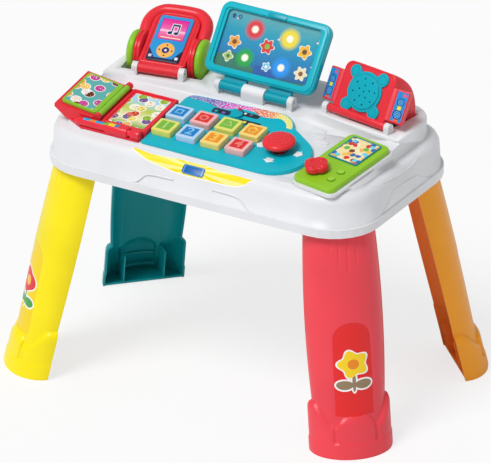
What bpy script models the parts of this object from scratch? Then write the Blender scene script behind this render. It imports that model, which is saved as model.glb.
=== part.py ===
# Activity table for a baby: a white table top on four coloured legs, with a keyboard of
# eight blocks, a joystick, a book, a game console, and three modules on hinges at the back.
# Metres, +Z up. The origin is on the floor under the middle; the child sits at -Y.

import bpy
import bmesh
import math
from mathutils import Matrix, Vector

# Clearances that all pieces share
gap = 0.0003
overrun = 0.004
pin_radius = 0.0015
pin_clearance = 0.0003

# Table top
rim_width = 0.500
rim_depth = 0.299
rim_corner = 0.0685
rim_bottom = 0.300
rim_flare_height = 0.012
rim_flare_step = 0.004
skirt_draft = 0.002
skirt_height = 0.046
shoulder_rise = 0.0125
shoulder_round = 0.018
wall = 0.003
platform_inset = 0.022
platform_rise = 0.0255
platform_round = 0.003
platform_corner_extra = 0.004
edge_share = 0.3
shoulder_inset_shares = (0.17, 0.5)
shoulder_rise_shares = (0.55, 0.87)
desk_drop = 0.022
desk_front_inset = 0.0315
desk_slope = math.radians(7.3)
ledge_gap = 0.0105
corner_steps = 7
hollow_chamfer = 0.0145
beyond_share = 0.6
ledge_front_share = 0.2
above_desk_share = 0.3
swoop_half_length = 0.095
swoop_depth = 0.005
swoop_reach_share = 1.3
swoop_tilt = math.radians(45)

# Screws and bosses under the table top
boss_radius = 0.0042
screw_radius = 0.0014
screw_head_radius = 0.003
screw_head_height = 0.0011
screw_grip = 0.010
boss_front_x = 0.128
boss_front_inset = 0.0245
boss_rear_x = 0.062
boss_rear_inset = 0.0335

# Base cover and battery bay
base_inset = 0.0077
base_rise = 0.0014
base_thickness = 0.003
socket_wall = 0.002
socket_clearance = 0.0004
battery_radius = 0.00725
battery_length = 0.0505
battery_count = 3
battery_pitch = 0.0149
bay_wall = 0.0022
contact_thickness = 0.0008
door_screw_room = 0.012
door_centre_y = -0.010

# Legs
foot_spread_x = 0.0507
foot_spread_y = 0.0504
leg_top_inset_x = 0.0555
leg_top_inset_y = 0.0577
leg_heading = math.radians(44.8)
leg_shell = 0.003
leg_steps = 12
foot_half_width = 0.05775
foot_depth = 0.0454
foot_height = 0.068
foot_top_half_width = 0.0565
foot_top_depth = 0.0448
foot_step_height = 0.0015
ankle_half_width = 0.0505
ankle_depth = 0.0400
calf_height = 0.180
calf_half_width = 0.0540
calf_depth = 0.0430
leg_top_half_width = 0.0490
leg_top_depth = 0.0432
plug_half_width = 0.0450
plug_depth = 0.0385
plug_height = 0.026

# Keyboard panel, in the desk's own frame: X, distance up the slope, height above the desk
panel_left = -0.090
panel_front = -0.009
panel_top = 0.006
panel_skin = 0.003
panel_wall = 0.0025
panel_edge_round = 0.0015
lobe_x = 0.0925
lobe_s = 0.0395
lobe_radius = 0.0485
back_corner_x = 0.045
back_corner_s = 0.090
back_corner_radius = 0.040
left_corner_s = 0.107
left_corner_radius = 0.015
bay_front = 0.006

# Keys
key_first_x = -0.0715
key_pitch_x = 0.038
key_first_s = 0.0257
key_pitch_s = 0.0383
key_columns = 4
key_rows = 2
key_width = 0.030
key_top = 0.0145
key_round = 0.0022
key_bottom = 0.0012
key_lug = 0.0013
key_lug_thickness = 0.0014
key_stem_radius = 0.003
key_stem_end = -0.0035
key_clearance = 0.0005
key_edge_round = 0.0012

# Main board and contact mat
board_top = -0.0125
board_thickness = 0.0015
board_margin = 0.003
board_post_radius = 0.002
stake_radius = 0.0011
mat_thickness = 0.0010
dome_radius = 0.005
dome_top_radius = 0.0032
dome_height = 0.0035

# Joystick
stick_x = 0.0925
stick_s = 0.0475
stick_pivot = -0.0027
stick_disc_radius = 0.0216
stick_disc_radius_shares = (0.93, 0.97, 0.82, 0.5)
stick_disc_rise_shares = (0.55, 0.88)
stick_disc_low = 0.0125
stick_disc_edge = 0.0165
stick_disc_top = 0.0215
stick_neck_radius = 0.009
stick_neck_low = 0.005
stick_stem_radius = 0.0045
stick_stem_end = -0.0100
stick_hole_radius = 0.0125

# Gimbal rings under the joystick and the direction pad
ring_height = 0.0044
ring_outer = 0.0125
ring_inner = 0.0088
ring_ear = 0.003
gimbal_pin_radius = 0.0010

# Mode selector
selector_x = -0.003
selector_s = 0.0975
selector_radius = 0.0085
selector_height = 0.0035
selector_arm_width = 0.0065
selector_arm_length = 0.0125
selector_tip_radius = 0.0022
selector_tip_height = 0.0022
selector_shaft_radius = 0.003
selector_shaft_end = -0.001
selector_clip_radius = 0.0045

# Game console
console_x = 0.187
console_s = 0.0500
console_turn = math.radians(-9.2)
console_width = 0.068
console_length = 0.129
console_corner = 0.009
console_top = 0.0108
console_skin = 0.0028
console_wall = 0.0025
console_round = 0.002
tray_thickness = 0.003
tray_margin = 0.0035
dpad_x = -0.0145
dpad_s = -0.0345
dpad_span = 0.026
dpad_arm = 0.0125
dpad_low = 0.0131
dpad_top = 0.0198
dpad_round = 0.0012
dpad_pivot = 0.0030
dpad_neck_radius = 0.0050
dpad_hole_radius = 0.0075
dpad_ring_outer = 0.0105
dpad_ring_inner = 0.0072
dpad_stem_end = -0.0030
button_x = 0.0170
button_s = -0.0220
button_pitch = 0.0210
button_radius = 0.0050
button_height = 0.0013
screen_width = 0.049
screen_length = 0.057
screen_s = 0.0290
screen_thickness = 0.0012
screen_corner = 0.003

# Book, in the desk's frame
spine_x = -0.1660
book_front = 0.0030
book_depth = 0.0900
cover_width = 0.0690
cover_gap = 0.0065
cover_top = 0.0115
cover_rim = 0.0035
cover_rim_depth = 0.0015
cover_round = 0.0015
left_wing_width = 0.0660
left_wing_foot_share = 0.72
left_wing_tilt = math.radians(8)
left_wing_thickness = 0.0055
left_wing_inner = 0.0065
spine_height = 0.0150
spine_radius = 0.0042
knob_radius = 0.0052
knob_length = 0.0060
page_width = 0.0595
page_depth = 0.0760
page_thickness = 0.0045
page_corner = 0.004
page_round = 0.0009
page_arm = 0.0050
apron_left = -0.2150
apron_right = -0.0960
apron_front = -0.0095
apron_thickness = 0.0030
apron_slant_share = 0.25
pen_s = -0.0045
pen_tip_x = -0.1960
pen_body_x = -0.1500
pen_cap_x = -0.1140
pen_neck_x = -0.1080
pen_end_x = -0.0930
pen_tip_radius = 0.0015
pen_tip_length = 0.0126
pen_body_radius = 0.0042
pen_cap_radius = 0.0054
pen_neck_radius = 0.0032
pen_knob_radius = 0.0046

# Tablet module
tablet_x = -0.002
tablet_y = 0.0255
tablet_axis = 0.011
tablet_tilt = math.radians(53.4)
tablet_width = 0.169
tablet_length = 0.100
tablet_corner = 0.014
tablet_start = 0.0136
tablet_face = 0.0069
tablet_split = 0.0000
tablet_rear = -0.0064
tablet_round = 0.003
tablet_wall = 0.003
tablet_lip = 0.0025
window_width = 0.145
window_length = 0.080
window_corner = 0.006
window_lap = 0.003
window_thickness = 0.0012
picture_thickness = 0.0012
lamp_radius = 0.0032
lamp_height = 0.0016
lights_thickness = 0.0010
lights_width = 0.110
lights_length = 0.056
lamp_place_shares = [(-0.26, 0.22), (0.10, 0.24), (-0.28, -0.22), (0.20, -0.20)]
latch_width = 0.026
latch_length = 0.009
latch_height = 0.0022
latch_corner = 0.0022
tablet_ear_half_span = 0.057
tablet_barrel_radius = 0.0068
hinge_cover_half_width = 0.017
hinge_cover_radius = 0.0092
tablet_neck_end = 0.022

# Headphones module
phones_x = -0.152
phones_y = 0.025
phones_axis = 0.0092
phones_turn = math.radians(10.3)
phones_tilt = math.radians(28)
phones_ear_half_span = 0.0335
phones_barrel_radius = 0.0068
phones_neck_depth = 0.0055
phones_half_width = 0.0335
phones_low = 0.009
phones_high = 0.0975
phones_corner = 0.0195
phones_foot_corner = 0.004
phones_face = 0.002
phones_rear = -0.0168
phones_cover_thickness = 0.0025
phones_wall = 0.0025
phones_round = 0.0015
band_half_width = 0.0422
band_radius = 0.0082
band_start = 0.0685
band_high = 0.1062
band_corner = 0.028
band_level = -0.006
cup_radius = 0.028
cup_inner = 0.0339
cup_edge = 0.051
cup_outer = 0.0565
cup_hub_radius = 0.016
cup_radius_shares = (0.93, 0.78)
cup_rise_share = 0.55
cup_hub_share = 0.93
cup_along = 0.039
cup_level = -0.0157
music_width = 0.045
music_length = 0.074
music_low = 0.0150
music_thickness = 0.0018
music_corner = 0.005

# Speaker module
speaker_x = 0.1505
speaker_y = 0.037
speaker_axis = 0.0080
speaker_turn = math.radians(-9.7)
speaker_tilt = math.radians(62)
speaker_ear_half_span = 0.0535
speaker_barrel_radius = 0.0055
speaker_half_width = 0.046
speaker_radius = 0.070
speaker_bottom_angle = math.radians(-12)
speaker_inner_angle = math.radians(-36)
speaker_wall = 0.0025
speaker_arc_steps = 9
grille_along = 0.0352
grille_radius = 0.0235
grille_lobe_reach = 0.0390
grille_steps = 64
grille_lobe_sharpness = 8
grille_inner_holes = 5
grille_outer_holes = 9
grille_thickness = 0.0034
grille_hole_radius = 0.0012
grille_hole_ring = 0.0075
grille_outer_ring = 0.0155
driver_radius = 0.020
driver_depth = 0.011
driver_magnet_radius = 0.011
driver_cone_share = 0.85
driver_centre_share = 0.3
driver_depth_shares = (0.6, 0.2, 0.35, 0.3)
sound_hole_radius = 0.0165
wing_width = 0.020
wing_low = 0.008
wing_high = 0.054
wing_thickness = 0.0115
wing_turn = math.radians(12)
wing_start = 0.0489
wing_round = 0.0015

# Wells behind the hinges, hinge ears
ear_width = 0.008
ear_radius = 0.0075
speaker_ear_radius = 0.0062
ear_root = 0.0015
ear_gap = 0.0004
well_start = 0.0085
phones_well_end = 0.074
phones_well_half_width = 0.0585
phones_well_depth = 0.030
speaker_well_end = 0.0727
speaker_well_half_width = 0.0478
speaker_well_depth = 0.032
speaker_well_start = 0.0070

white = (0.86, 0.87, 0.88)
red = (0.86, 0.10, 0.12)
turquoise = (0.0, 0.50, 0.60)
teal = (0.0, 0.29, 0.33)
green = (0.42, 0.66, 0.05)
yellow = (0.95, 0.86, 0.02)
orange = (0.93, 0.45, 0.05)
blue = (0.05, 0.33, 0.66)
dark = (0.05, 0.06, 0.09)
steel = (0.65, 0.66, 0.68)
clear = (0.75, 0.85, 0.90)


# Clean scene and the two collections

for old_object in list(bpy.data.objects):
    bpy.data.objects.remove(old_object, do_unlink=True)

part_collection = bpy.data.collections.new("activity_table")
bpy.context.scene.collection.children.link(part_collection)
cutter_collection = bpy.data.collections.new("cutters")
bpy.context.scene.collection.children.link(cutter_collection)


# Helpers

def add_frame(name, matrix, parent=None):
    """Make an empty that carries pieces and holds their joint's axis."""
    empty = bpy.data.objects.new(name, None)
    part_collection.objects.link(empty)
    empty.empty_display_size = wall
    if parent is not None:
        empty.parent = parent
    empty.matrix_local = matrix
    bpy.context.view_layer.update()
    return empty


def add_object(name, mesh, frame):
    """Put a mesh in the part's collection, carried by a frame."""
    piece = bpy.data.objects.new(name, mesh)
    part_collection.objects.link(piece)
    if frame is not None:
        piece.parent = frame
    return piece


def from_bmesh(name, work, frame):
    """Turn a bmesh into an object with its faces pointing out."""
    bmesh.ops.recalc_face_normals(work, faces=work.faces)
    mesh = bpy.data.meshes.new(name)
    work.to_mesh(mesh)
    work.free()
    return add_object(name, mesh, frame)


def paint(piece, colour, roughness=0.35, metallic=0.0, alpha=1.0):
    """Give a piece its own material, and smooth shading up to an angle."""
    material = bpy.data.materials.new(piece.name + "_finish")
    material.use_nodes = True
    shader = material.node_tree.nodes["Principled BSDF"]
    shader.inputs["Base Color"].default_value = (*colour, 1.0)
    shader.inputs["Roughness"].default_value = roughness
    shader.inputs["Metallic"].default_value = metallic
    shader.inputs["Alpha"].default_value = alpha
    piece.data.materials.clear()
    piece.data.materials.append(material)
    piece.data.shade_smooth()
    piece.data.set_sharp_from_angle(angle=math.radians(35))
    return piece


def hide_tool(tool):
    """Move a cutter or a fused shape out of the part's collection."""
    part_collection.objects.unlink(tool)
    cutter_collection.objects.link(tool)
    tool.hide_render = True
    tool.display_type = 'WIRE'


def use_tool(piece, tool, operation):
    """Join a tool to a piece, or cut it away, with an exact Boolean."""
    modifier = piece.modifiers.new(tool.name, 'BOOLEAN')
    modifier.operation = operation
    modifier.solver = 'EXACT'
    modifier.object = tool
    if tool.name not in cutter_collection.objects:
        hide_tool(tool)


def cut(piece, *tools):
    for tool in tools:
        use_tool(piece, tool, 'DIFFERENCE')


def fuse(piece, *tools):
    for tool in tools:
        use_tool(piece, tool, 'UNION')


def round_edges(piece, width, segments=2, angle=math.radians(40)):
    """Bevel the edges of a piece that are sharper than an angle."""
    modifier = piece.modifiers.new("edges", 'BEVEL')
    modifier.width = width
    modifier.segments = segments
    modifier.limit_method = 'ANGLE'
    modifier.angle_limit = angle
    modifier.use_clamp_overlap = True


def arc(centre_x, centre_y, radius, start, end, steps):
    """Points along an arc; angles in degrees."""
    points = []
    for step in range(steps + 1):
        angle = math.radians(start + (end - start) * step / steps)
        points.append((centre_x + radius * math.cos(angle), centre_y + radius * math.sin(angle)))
    return points


def rounded_rectangle(width, height, radius, steps=4, centre=(0.0, 0.0)):
    """Outline of a rectangle with round corners."""
    across = width / 2 - radius
    along = height / 2 - radius
    x, y = centre
    return (arc(x + across, y - along, radius, -90, 0, steps)
            + arc(x + across, y + along, radius, 0, 90, steps)
            + arc(x - across, y + along, radius, 90, 180, steps)
            + arc(x - across, y - along, radius, 180, 270, steps))


def grow(outline, distance):
    """Offset a closed outline outwards, or inwards for a negative distance."""
    grown = []
    count = len(outline)
    for index in range(count):
        before = Vector(outline[index - 1])
        here = Vector(outline[index])
        after = Vector(outline[(index + 1) % count])
        first = (here - before).normalized()
        second = (after - here).normalized()
        normal = Vector((first.y + second.y, -first.x - second.x)).normalized()
        lean = max(0.5, normal.dot(Vector((first.y, -first.x))))
        grown.append(tuple(here + normal * distance / lean))
    return grown


def plate(name, outline, low, high, frame=None):
    """A flat outline in X and Y, thick from low to high along Z."""
    curve = bpy.data.curves.new(name, 'CURVE')
    curve.dimensions = '2D'
    curve.fill_mode = 'BOTH'
    curve.extrude = (high - low) / 2
    spline = curve.splines.new('POLY')
    spline.points.add(len(outline) - 1)
    for point, place in zip(spline.points, outline):
        point.co = (place[0], place[1], 0.0, 1.0)
    spline.use_cyclic_u = True
    source = bpy.data.objects.new(name + "_outline", curve)
    part_collection.objects.link(source)
    bpy.context.view_layer.update()
    evaluated = source.evaluated_get(bpy.context.evaluated_depsgraph_get())
    mesh = bpy.data.meshes.new_from_object(evaluated)
    bpy.data.objects.remove(source, do_unlink=True)
    bpy.data.curves.remove(curve)
    work = bmesh.new()
    work.from_mesh(mesh)
    bpy.data.meshes.remove(mesh)
    bmesh.ops.remove_doubles(work, verts=work.verts, dist=gap / 10)
    bmesh.ops.dissolve_limit(work, angle_limit=math.radians(1), verts=work.verts, edges=work.edges)
    bmesh.ops.translate(work, verts=work.verts, vec=(0.0, 0.0, (low + high) / 2))
    return from_bmesh(name, work, frame)


def domed(name, outline, low, high, rounding, frame=None, steps=3):
    """A plate from low to high, with its far edge rounded."""
    rings = [[(x, y, low) for x, y in outline]]
    away = math.copysign(rounding, high - low)
    for step in range(steps + 1):
        angle = math.radians(90) * step / steps
        inner = grow(outline, rounding * (math.cos(angle) - 1)) if step else outline
        rings.append([(x, y, high - away * (1 - math.sin(angle))) for x, y in inner])
    return loft(name, rings, frame)


def side_frame(label, hinge):
    """A frame whose X and Y are a hinge's Y and Z, for shapes extruded along the hinge."""
    axes = Matrix(((0.0, 0.0, 1.0, 0.0), (1.0, 0.0, 0.0, 0.0), (0.0, 1.0, 0.0, 0.0), (0.0, 0.0, 0.0, 1.0)))
    return add_frame(f"{label}_side_frame", axes, hinge)


def block(name, low, high, frame=None):
    """A box between two corners."""
    size = [high[axis] - low[axis] for axis in range(3)]
    middle = [(high[axis] + low[axis]) / 2 for axis in range(3)]
    work = bmesh.new()
    bmesh.ops.create_cube(work, size=1.0, matrix=Matrix.Translation(middle) @ Matrix.Diagonal((*size, 1.0)))
    return from_bmesh(name, work, frame)


def rod(name, radius, start, end, frame=None, steps=16, end_radius=None):
    """A cylinder or a cone from one point to another."""
    start = Vector(start)
    end = Vector(end)
    turn = (end - start).to_track_quat('Z', 'Y').to_matrix().to_4x4()
    work = bmesh.new()
    bmesh.ops.create_cone(
        work, cap_ends=True, segments=steps, radius1=radius,
        radius2=radius if end_radius is None else end_radius,
        depth=(end - start).length, matrix=Matrix.Translation((start + end) / 2) @ turn)
    return from_bmesh(name, work, frame)


def turned(name, profile, frame=None, steps=24, along='Z'):
    """Spin a profile of (radius, height) pairs; it starts and ends on the axis."""
    mesh = bpy.data.meshes.new(name)
    turn = Matrix.Rotation(math.radians(90), 4, 'Y') if along == 'X' else Matrix.Identity(4)
    mesh.from_pydata([(radius, 0.0, height) for radius, height in profile],
                     [(index, index + 1) for index in range(len(profile) - 1)], [])
    source = add_object(name, mesh, None)
    screw = source.modifiers.new("screw", 'SCREW')
    screw.steps = steps
    screw.render_steps = steps
    screw.use_merge_vertices = True
    screw.merge_threshold = 0.0001
    bpy.context.view_layer.update()
    evaluated = source.evaluated_get(bpy.context.evaluated_depsgraph_get())
    solid = bpy.data.meshes.new_from_object(evaluated)
    bpy.data.objects.remove(source, do_unlink=True)
    work = bmesh.new()
    work.from_mesh(solid)
    bpy.data.meshes.remove(solid)
    bmesh.ops.remove_doubles(work, verts=work.verts, dist=gap / 10)
    bmesh.ops.transform(work, matrix=turn, verts=work.verts)
    return from_bmesh(name, work, frame)


def loft(name, rings, frame=None):
    """Extrude a closed ring of points through the rings that follow it."""
    work = bmesh.new()
    order = work.verts.layers.int.new("order")
    corners = [work.verts.new(point) for point in rings[0]]
    for index, corner in enumerate(corners):
        corner[order] = index
    face = work.faces.new(corners)
    for number, ring in enumerate(rings[1:]):
        geometry = bmesh.ops.extrude_face_region(work, geom=[face], use_keep_orig=True)["geom"]
        if number:
            work.faces.remove(face)
        face = [item for item in geometry if isinstance(item, bmesh.types.BMFace)][0]
        for corner in face.verts:
            corner.co = ring[corner[order]]
    return from_bmesh(name, work, frame)


def posts(name, places, radius, low, high, frame=None, steps=12, top_radius=None):
    """Upright cylinders or cones at several places, as one tool or one piece."""
    work = bmesh.new()
    for x, y in places:
        bmesh.ops.create_cone(
            work, cap_ends=True, segments=steps, radius1=radius,
            radius2=radius if top_radius is None else top_radius,
            depth=high - low, matrix=Matrix.Translation((x, y, (low + high) / 2)))
    return from_bmesh(name, work, frame)


def screw(name, place, frame=None):
    """A pan-head screw that points up, with its head under the base cover."""
    piece = turned(name, [
        (0.0, screw_end), (screw_radius, screw_end), (screw_radius, screw_head_high),
        (screw_head_radius, screw_head_high), (screw_head_radius, screw_head_low),
        (0.0, screw_head_low)], frame, 10)
    piece.location = (*place, 0.0)
    return paint(piece, steel, 0.3, 1.0)


def tube(name, places, radius, frame=None):
    """A round tube along a list of points, with its caps welded."""
    curve = bpy.data.curves.new(name, 'CURVE')
    curve.dimensions = '3D'
    curve.bevel_depth = radius
    curve.bevel_resolution = 3
    curve.use_fill_caps = True
    spline = curve.splines.new('POLY')
    spline.points.add(len(places) - 1)
    for point, place in zip(spline.points, places):
        point.co = (*place, 1.0)
    source = bpy.data.objects.new(name + "_path", curve)
    part_collection.objects.link(source)
    bpy.context.view_layer.update()
    evaluated = source.evaluated_get(bpy.context.evaluated_depsgraph_get())
    mesh = bpy.data.meshes.new_from_object(evaluated)
    bpy.data.objects.remove(source, do_unlink=True)
    bpy.data.curves.remove(curve)
    work = bmesh.new()
    work.from_mesh(mesh)
    bpy.data.meshes.remove(mesh)
    bmesh.ops.remove_doubles(work, verts=work.verts, dist=gap / 10)
    return from_bmesh(name, work, frame)


# Frames: the sloped desk, and the three hinges behind it

skirt_top = rim_bottom + skirt_height
shoulder_height = skirt_top + shoulder_rise
platform_height = shoulder_height + platform_rise
desk_front_height = platform_height - desk_drop
desk_front_y = desk_front_inset - rim_depth / 2
desk = add_frame("desk_frame", Matrix.Translation((0.0, desk_front_y, desk_front_height))
                 @ Matrix.Rotation(desk_slope, 4, 'X'))


def hinge_matrix(x, y, axis_height, turn):
    return Matrix.Translation((x, y, platform_height + axis_height)) @ Matrix.Rotation(turn, 4, 'Z')


tablet_hinge = add_frame("tablet_hinge_frame", hinge_matrix(tablet_x, tablet_y, tablet_axis, 0.0))
phones_hinge = add_frame("headphones_hinge_frame",
                         hinge_matrix(phones_x, phones_y, phones_axis, phones_turn))
speaker_hinge = add_frame("speaker_hinge_frame",
                          hinge_matrix(speaker_x, speaker_y, speaker_axis, speaker_turn))
tablet_face_frame = add_frame("tablet_face_frame", Matrix.Rotation(tablet_tilt, 4, 'X'), tablet_hinge)
phones_face_frame = add_frame("headphones_face_frame", Matrix.Rotation(phones_tilt, 4, 'X'), phones_hinge)
speaker_face_frame = add_frame("speaker_face_frame", Matrix.Rotation(speaker_tilt, 4, 'X'), speaker_hinge)
console_frame = add_frame("console_frame", Matrix.Translation((console_x, console_s, 0.0))
                          @ Matrix.Rotation(console_turn, 4, 'Z'), desk)


def desk_height(y):
    """Height of the sloped desk above the floor at a distance y."""
    return desk_front_height + (y - desk_front_y) * math.tan(desk_slope)


def up_the_slope(y):
    """Distance up the slope, from the desk's front, of a place at y."""
    return (y - desk_front_y) / math.cos(desk_slope)


# Table top: skirt with a flared rim, low shoulder, platform with its sloped desk

def body_ring(inset, height, corner_extra=0.0):
    """The table's outline at a height, drawn in from the rim by an inset."""
    outline = rounded_rectangle(rim_width - 2 * inset, rim_depth - 2 * inset,
                                rim_corner - inset + corner_extra, corner_steps)
    return [(x, y, height) for x, y in outline]


skirt_inset = rim_flare_step + skirt_draft
flare_top = rim_bottom + rim_flare_height
table_top = loft("table_top", [
    body_ring(0.0, rim_bottom),
    body_ring(0.0, flare_top),
    body_ring(rim_flare_step, flare_top + gap),
    body_ring(skirt_inset, skirt_top),
    *[body_ring(skirt_inset + shoulder_round * inset_share, skirt_top + shoulder_rise * rise_share)
      for inset_share, rise_share in zip(shoulder_inset_shares, shoulder_rise_shares)],
    body_ring(skirt_inset + shoulder_round, shoulder_height)])

platform_low = shoulder_height - wall * 2
platform = loft("platform", [
    body_ring(platform_inset, platform_low, platform_corner_extra),
    body_ring(platform_inset, platform_height - platform_round, platform_corner_extra),
    body_ring(platform_inset + platform_round * edge_share, platform_height - platform_round * edge_share,
              platform_corner_extra),
    body_ring(platform_inset + platform_round, platform_height, platform_corner_extra)])


def ledge_point(hinge, across, back):
    """A point in front of a hinge, in the desk's frame."""
    place = hinge.matrix_world @ Vector((across, back, 0.0))
    return place.x, up_the_slope(place.y)


beyond_x = rim_width * beyond_share
front_y = -rim_depth * ledge_front_share
far_side = rim_width / 2 - platform_inset
ledge_line = [
    (-beyond_x, front_y),
    (beyond_x, front_y),
    (beyond_x, ledge_point(speaker_hinge, far_side - speaker_x, -ledge_gap)[1]),
    ledge_point(speaker_hinge, speaker_ear_half_span + ear_width, -ledge_gap),
    ledge_point(speaker_hinge, -speaker_ear_half_span - ear_width, -ledge_gap),
    ledge_point(tablet_hinge, tablet_ear_half_span + ear_width * 2, -ledge_gap),
    ledge_point(tablet_hinge, -tablet_ear_half_span - ear_width * 2, -ledge_gap),
    ledge_point(phones_hinge, phones_ear_half_span + ear_width, -ledge_gap),
    ledge_point(phones_hinge, -phones_ear_half_span - ear_width, -ledge_gap),
    (-beyond_x, ledge_point(phones_hinge, -far_side - phones_x, -ledge_gap)[1])]
above_desk = rim_depth * above_desk_share
cut(platform, plate("desk_cut", ledge_line, 0.0, above_desk, desk))
fuse(table_top, platform)

skirt_hollow = loft("skirt_hollow", [
    body_ring(rim_flare_step + wall, rim_bottom - overrun),
    body_ring(skirt_inset + wall, skirt_top - hollow_chamfer),
    body_ring(skirt_inset + hollow_chamfer, skirt_top + wall),
    body_ring(platform_inset + wall * 2, shoulder_height - wall)])
platform_hollow = loft("platform_hollow", [
    body_ring(platform_inset + wall, shoulder_height - wall * 2, platform_corner_extra),
    body_ring(platform_inset + wall, platform_height - wall, platform_corner_extra)])
cut(platform_hollow, plate("desk_underside_cut", grow(ledge_line, wall), -wall, above_desk, desk))
cut(table_top, skirt_hollow, platform_hollow)


# The shallow swoop along the front edge

slant = Vector((0.0, -math.sin(swoop_tilt), math.cos(swoop_tilt)))
corner_point = Vector((0.0, skirt_inset + shoulder_round * shoulder_inset_shares[0] - rim_depth / 2,
                       skirt_top + shoulder_rise * shoulder_rise_shares[0]))
swoop_seat = corner_point - slant * swoop_depth
swoop_radius = (swoop_half_length ** 2 + swoop_depth ** 2) / (2 * swoop_depth)
swoop_frame = add_frame("swoop_frame", Matrix.Translation(swoop_seat)
                        @ Matrix.Rotation(swoop_tilt, 4, 'X'))
swoop_span = math.degrees(math.asin(swoop_half_length * swoop_reach_share / swoop_radius))
swoop_outline = arc(0.0, swoop_radius, swoop_radius, -90 - swoop_span, -90 + swoop_span, 14)
swoop_far = swoop_outline[-1][1] + shoulder_round
swoop_cut = plate("swoop_cut", swoop_outline + [(swoop_outline[-1][0], swoop_far),
                                               (swoop_outline[0][0], swoop_far)],
                  -shoulder_round * 2, shoulder_round * 2, swoop_frame)
swoop_cut.matrix_local = Matrix.Rotation(math.radians(90), 4, 'X')
cut(table_top, swoop_cut)


# Hinge ears on the platform, and the wells that the modules tilt back into

def knuckle(name, radius, foot, near, far, frame):
    """A hinge ear: round above the axis, straight down to its foot."""
    outline = [(-radius, foot), (radius, foot)] + arc(0.0, 0.0, radius, 0, 180, 12)
    return plate(name, outline, near, far, frame)


def add_ears(label, frame, half_span, radius, axis_height):
    side_view = side_frame(label, frame)
    for side in (-1, 1):
        inner = side * half_span - ear_width / 2
        fuse(table_top, knuckle(f"{label}_ear_{side}", radius, -axis_height - ear_root,
                                inner, inner + ear_width, side_view))
    bore = rod(f"{label}_ear_bore", pin_radius + pin_clearance, (-half_span - ear_width, 0.0, 0.0),
               (half_span + ear_width, 0.0, 0.0), frame, 12)
    cut(table_top, bore)
    pin_half = half_span + ear_width / 2
    pin = rod(f"{label}_pin", pin_radius, (-pin_half, 0.0, 0.0), (pin_half, 0.0, 0.0), frame, 12)
    paint(pin, steel, 0.25, 1.0)
    return side_view


def add_well(label, frame, half_width, start, end, depth, axis_height):
    floor = -axis_height - depth
    liner = block(f"{label}_well_liner", (-half_width - wall, start - wall, floor - wall),
                  (half_width + wall, end + wall, -axis_height - wall / 2), frame)
    room = block(f"{label}_well_room", (-half_width, start, floor),
                 (half_width, end, overrun), frame)
    fuse(table_top, liner)
    cut(table_top, room)


add_well("headphones", phones_hinge, phones_well_half_width, well_start, phones_well_end,
         phones_well_depth, phones_axis)
add_well("speaker", speaker_hinge, speaker_well_half_width, speaker_well_start, speaker_well_end,
         speaker_well_depth, speaker_axis)
tablet_side = add_ears("tablet", tablet_hinge, tablet_ear_half_span, ear_radius, tablet_axis)
add_ears("headphones", phones_hinge, phones_ear_half_span, ear_radius, phones_axis)
speaker_side = add_ears("speaker", speaker_hinge, speaker_ear_half_span, speaker_ear_radius, speaker_axis)


# Screw bosses that hang from the table top down to the base cover

base_low = rim_bottom + base_rise
base_high = base_low + base_thickness
boss_front_y = boss_front_inset - rim_depth / 2
boss_rear_y = rim_depth / 2 - boss_rear_inset
screw_head_high = base_low - gap
screw_head_low = screw_head_high - screw_head_height
screw_end = base_high + screw_grip
boss_places = []
for row, x, y, roof in (("front", boss_front_x, boss_front_y, desk_height(boss_front_y)),
                        ("rear", boss_rear_x, boss_rear_y, platform_height)):
    pair = [(-x, y), (x, y)]
    boss_places += pair
    fuse(table_top, posts(f"{row}_bosses", pair, boss_radius, base_high + gap, roof - wall / 2))
cut(table_top, posts("boss_bores", boss_places, screw_radius + gap, base_high - gap, screw_end + gap, None, 8))
for number, place in enumerate(boss_places, start=1):
    screw(f"cover_screw_{number}", place)


# Legs: a C-shaped shell, open towards the middle, that flares into a stepped foot

leg_top_x = rim_width / 2 - leg_top_inset_x
leg_top_y = rim_depth / 2 - leg_top_inset_y
foot_x = leg_top_x + foot_spread_x
foot_y = leg_top_y + foot_spread_y


def leg_centre(height, side_x, side_y):
    """The middle of a leg's open side at a height above the floor."""
    climb = height / rim_bottom
    return Vector((side_x * (foot_x + (leg_top_x - foot_x) * climb),
                   side_y * (foot_y + (leg_top_y - foot_y) * climb), height))


def leg_directions(side_x, side_y):
    """The way a leg faces, and the way along its open side."""
    outward = Vector((side_x * math.cos(leg_heading), side_y * math.sin(leg_heading), 0.0))
    return outward, Vector((-outward.y, outward.x, 0.0))


def leg_arc(height, half_width, depth, side_x, side_y):
    """Half an ellipse round the outer side of a leg."""
    outward, sideways = leg_directions(side_x, side_y)
    centre = leg_centre(height, side_x, side_y)
    angles = [math.pi * step / leg_steps for step in range(leg_steps + 1)]
    return [tuple(centre + sideways * half_width * math.cos(angle) + outward * depth * math.sin(angle))
            for angle in angles]


leg_shoulder = base_low - gap
leg_levels = [
    (0.0, foot_half_width, foot_depth, 0.0),
    (foot_height, foot_top_half_width, foot_top_depth, leg_shell),
    (foot_height + foot_step_height, ankle_half_width, ankle_depth, leg_shell),
    (calf_height, calf_half_width, calf_depth, 0.0),
    (leg_shoulder, leg_top_half_width, leg_top_depth, leg_shell),
    (leg_shoulder + gap, plug_half_width, plug_depth, leg_shell),
    (rim_bottom + plug_height, plug_half_width, plug_depth, 0.0)]


def add_leg(name, side_x, side_y, colour):
    rings = []
    for height, half_width, depth, drop in leg_levels:
        outer = leg_arc(height, half_width, depth, side_x, side_y)
        inner = leg_arc(height - drop, half_width - leg_shell, depth - leg_shell, side_x, side_y)
        rings.append(outer + inner[::-1])
    return paint(loft(name, rings), colour)


add_leg("leg_front_left", -1, -1, yellow)
add_leg("leg_front_right", 1, -1, red)
add_leg("leg_back_left", -1, 1, teal)
add_leg("leg_back_right", 1, 1, orange)


# Base cover: the underside, with a socket round each leg and the battery bay

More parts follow.
